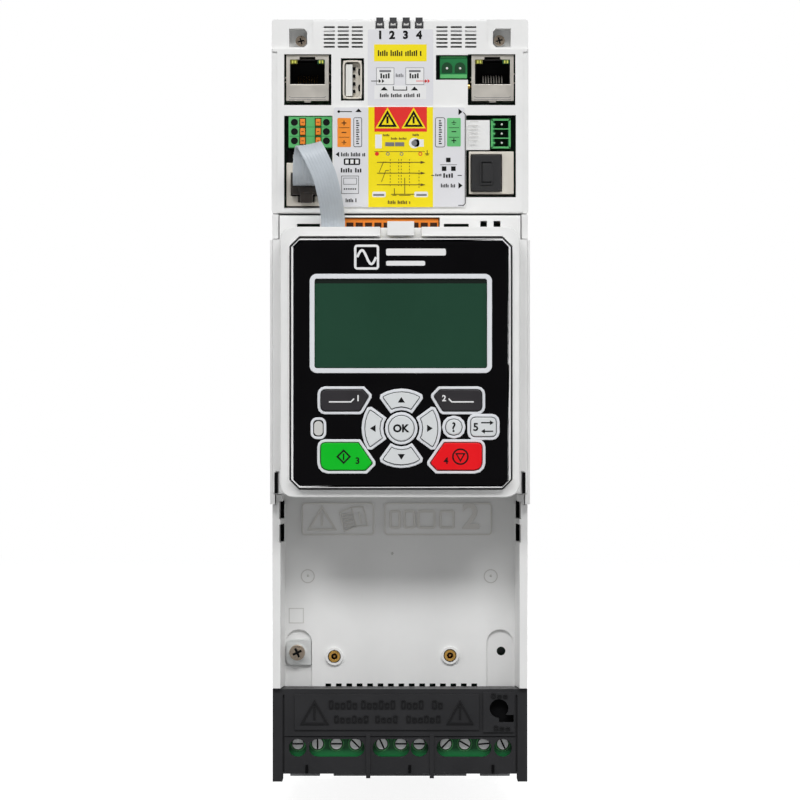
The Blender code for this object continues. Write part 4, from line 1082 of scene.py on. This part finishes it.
def slotted_head(x, z, radius, front, depth, angle_deg, slot_width):
    """A round head with one straight slot: two round segments on a disc."""
    shapes = [screw_disc(x, z, radius, front, depth)]
    half = math.degrees(math.asin(slot_width / 2 / radius))
    for turn in (0, 180):
        outline = arc(x, z, radius * 0.97, angle_deg + turn + half, angle_deg + turn + 180 - half, 18)
        shapes.append(prism(outline, (front, front + depth)))
    return shapes


def crossed_head(x, z, radius, front, depth, angle_deg, slot_width):
    """A round head with a cross recess: four round quarters on a disc and a rim round them."""
    shapes = [screw_disc(x, z, radius, front, depth)]
    inner = radius * 0.62
    half = math.degrees(math.asin(slot_width / 2 / inner))
    notch = slot_width / 2 * math.sqrt(2)
    for turn in (0, 90, 180, 270):
        start = angle_deg + turn
        diagonal = math.radians(start + 45)
        corner = (x + notch * math.cos(diagonal), z + notch * math.sin(diagonal))
        quarter = [corner] + arc(x, z, inner, start + half, start + 90 - half, 6)
        shapes.append(prism(quarter, (front, front + depth)))
    rim = circle(x, z, radius * 0.97, 28)
    shapes.append(prism(rim, (front + 0.05, front + depth), circle(x, z, inner, 28)))
    return shapes


def slot_shade(x, z, length, width, depth, angle_deg, crossed=False):
    """Painted shade: a dark bar at the bottom of a screw's slot or cross recess."""
    bars = []
    for turn in (0, 90) if crossed else (0,):
        angle = math.radians(angle_deg + turn)
        along = Vector((math.cos(angle), math.sin(angle)))
        ends = [tuple(Vector((x, z)) + along * reach) for reach in (-length / 2, length / 2)]
        bars.append(prism(stroke(ends, width), (depth + 0.1, depth - 0.04 * (1 + turn / 90))))
    return bars


TERMINAL_SCREW_Z = -130.9
# The middle of each terminal screw, and the angle at which its slot was left.
TERMINAL_SCREWS = {-38.9: 0, -31.4: 90, -24.2: 0, -16.9: -45, -6.9: -65, 0.3: 0, 7.3: 0,
                   17.4: 45, 24.6: -30, 31.9: 5, 39.1: -65}


def make_screws():
    """The heads of all screws, their sockets and painted shade at the bottoms of their recesses."""
    heads, shades, rings = [], [], []
    front, z = limits("mains_terminal")[0].y, TERMINAL_SCREW_Z
    for x, angle_deg in TERMINAL_SCREWS.items():
        heads += slotted_head(x, z, 2.15, front - 1.1, 1.0, angle_deg, 0.62)
        shades += slot_shade(x, z, 4.1, 0.66, front - 0.75, angle_deg)
        rings.append(prism(circle(x, z, 2.95, 28), (front + 1.0, front - 0.15), circle(x, z, 2.4, 28)))
    piece("terminal_screws", ZINC, heads, edge=0.06)
    piece("screw_sockets", GREEN, rings, edge=0.08)
    front = limits("earth_screw")[0].y
    x, z = centre_of("earth_screw")
    piece("earth_screw_head", NICKEL, crossed_head(x, z, 3.0, front - 0.5, 1.0, 25, 0.9),
          edge=0.08)
    shades += slot_shade(x, z, 3.7, 0.9, front - 0.28, 25, True)
    for side in ("left", "right"):
        name = f"cover_screw_{side}"
        front = limits(name)[0].y
        x, z = centre_of(name)
        shades += slot_shade(x, z, 2.6, 0.6, front + 0.05, 15, True)
        piece(f"{name}_head", NICKEL, crossed_head(x, z, 2.15, front - 0.2, 0.7, 15, 0.6),
              edge=0.06)
    piece("screw_recess_painted_shade", DEEP_BLACK_AND_PAINTED_SHADE, shades)


BAY_FLOOR_Y = -140.0
SIGN_PLATE_Y = BAY_FLOOR_Y - 0.8
COVER_FRONT_Y = -160.0
COVER_SIGN_Y = COVER_FRONT_Y - 0.8


def make_bay():
    """Moulded signs and ejector marks on the floor of the option bay, tinted grey as painted shade, and dark
    blocks of painted shade in the side slots.
    """
    base, plate = BAY_FLOOR_Y, SIGN_PLATE_Y
    raised = (plate + 0.1, plate - 0.6)
    sign = triangle(-29.9, -45.3, 10.9, 9.2)
    signs = [prism(grown(sign, 0.2), raised, grown(sign, -0.65)),
             prism(rect((-30.4, -29.5), (-48.2, -43.4)), raised)]

    # An open book, tilted, with lines on its left page and a bar on its right one.
    def page(points):
        turn = Matrix.Rotation(math.radians(14.0), 2)
        return [tuple(Vector((-17.6, -45.4)) + turn @ Vector(point)) for point in points]

    cover = page([(-5.0, -4.3), (0.0, -3.5), (4.6, -4.3), (4.6, 3.8), (0.0, 4.6), (-5.0, 3.8)])
    signs.append(hollow(cover, 0.55, raised))
    lines = [rect((-4.1, -0.6), (z, z + 0.5)) for z in (-2.9, -1.9, -0.9, 0.1, 1.1, 2.1)]
    lines += [rect((-0.25, 0.25), (-3.4, 4.4)), rect((1.9, 2.6), (-2.6, 2.0))]
    signs += [prism(page(line), raised) for line in lines]
    # Four outlined blocks and a numeral, and a border round each sign.
    signs += [hollow(rounded(x, (-49.4, -42.2), 1.0), 0.9, raised)
              for x in ((-4.1, 0.3), (1.3, 5.9), (6.6, 13.6), (15.0, 21.0))]
    signs.append(numeral("2", 27.1, -44.4, 9.8, raised, 0.3))
    signs += [hollow(rounded(x, (-51.9, -39.4), 1.5), 0.55, (plate + 0.1, plate - 0.35))
              for x in ((-37.7, -9.9), (-6.1, 35.2))]
    # The raised signs are light grey: painted shade along their relief.
    piece("bay_signs", SIGN_PAINTED_SHADE, signs, edge=0.1)
    core = [(0.35, base + 1.0), (0.6, base + 1.3), (0.6, base + 3.0)]
    cores = [turned(*centre_of(f"brass_insert_{side}"), core, 16) for side in ("left", "right")]
    piece("insert_cores", GOLD, cores)
    # Grey rings round the insert bosses, and the grey ejector marks, are painted shade of their relief.
    marks = [prism(circle(x, -67.6, 2.7, 28), (base + 0.05, base - 0.15), circle(x, -67.6, 2.3, 28))
             for x in (-35.4, 34.8)]
    marks += [turned(x, z, [(0.3, base - 0.25), (0.6, base + 0.05)], 12)
              for x, z in ((-3.0, -58.9), (-35.2, -67.4), (34.9, -67.4))]
    cover_face = limits("middle_cover")[0].y
    # Deep black blocks in the wall slots are painted shade where the slots look dark.
    slots = []
    for side in (-1, 1):
        slots += [block((side * 44.5, side * 45.7), (base - 0.35, base + 0.5), z)
                  for z in ((-45.1, -38.6), (-54.0, -47.4))]
        slots.append(block((side * 46.2, side * 47.5), (cover_face - 0.06, cover_face + 0.8), (-35.4, -27.4)))
    piece("side_slot_painted_shade", DEEP_BLACK_AND_PAINTED_SHADE, slots)
    marks.append(hollow(rect((-42.7, -36.9), (-85.7, -79.8)), 0.35, (base + 0.05, base - 0.12)))
    piece("ejector_marks_painted_shade", SHELL_GREY_PAINTED_LIGHT_AND_SHADE, marks)


def outlined_row(x, z, tall, raised):
    """A row of outlined blocks in place of a line of moulded words."""
    shapes, at, i = [], x[0], 0
    while at + 1.7 < x[1] + 0.2:
        height = tall * (1.0, 0.74, 0.74, 1.0, 0.74)[i % 5]
        block_outline = rounded((at, at + 1.75), (z - tall / 2, z - tall / 2 + height), 0.45)
        shapes.append(hollow(block_outline, 0.5, raised))
        at += 2.25
        i += 1
    return shapes


def make_cover_signs():
    """Moulded signs on the black terminal cover, darker than the cover as painted shade."""
    raised = (COVER_SIGN_Y + 0.1, COVER_SIGN_Y - 0.5)
    shapes = [hollow(triangle(x, -118.5, width, 9.5), 0.75, raised)
              for x, width in ((-32.5, 11.0), (22.8, 10.5))]
    shapes += [prism(rect((x - 0.4, x + 0.4), (-121.4, -116.4)), raised) for x in (-32.5, 22.8)]
    rows = [(x, -115.65, 3.3) for x in ((-27.0, -16.4), (-14.8, -1.4), (0.4, 10.6), (12.2, 17.8))]
    rows += [(x, -121.2, 2.8) for x in ((-25.0, -11.4), (-9.4, 0.0), (2.4, 15.4))]
    rows += [((34.6, 41.8), -112.4, 2.0), ((35.6, 42.2), -124.6, 2.0)]
    for x, z, tall in rows:
        shapes += outlined_row(x, z, tall, raised)
    piece("cover_signs", BLACK_SIGN_PAINTED_SHADE, shapes, edge=0.08)
    front = COVER_FRONT_Y + 0.1
    seams = [prism(rect((-44.0, 44.0), (-128.0, -127.7)), (front, COVER_FRONT_Y - 0.25))]
    seams += [prism(rect((x - 0.5, x + 0.5), (-141.9, -138.6)), (front, COVER_SIGN_Y))
              for x in (-35.4, 3.7, 35.3)]
    piece("cover_seams", DEEP_BLACK_AND_PAINTED_SHADE, seams, edge=0.08)
    # The deep black plate at the back of the cable port is painted shade in the recess.
    port = block((32.6, 44.0), (-157.2, -156.6), (-124.0, -112.0))
    piece("cable_port_painted_shade", DEEP_BLACK_AND_PAINTED_SHADE, [port])


make_screws()
make_bay()
make_cover_signs()
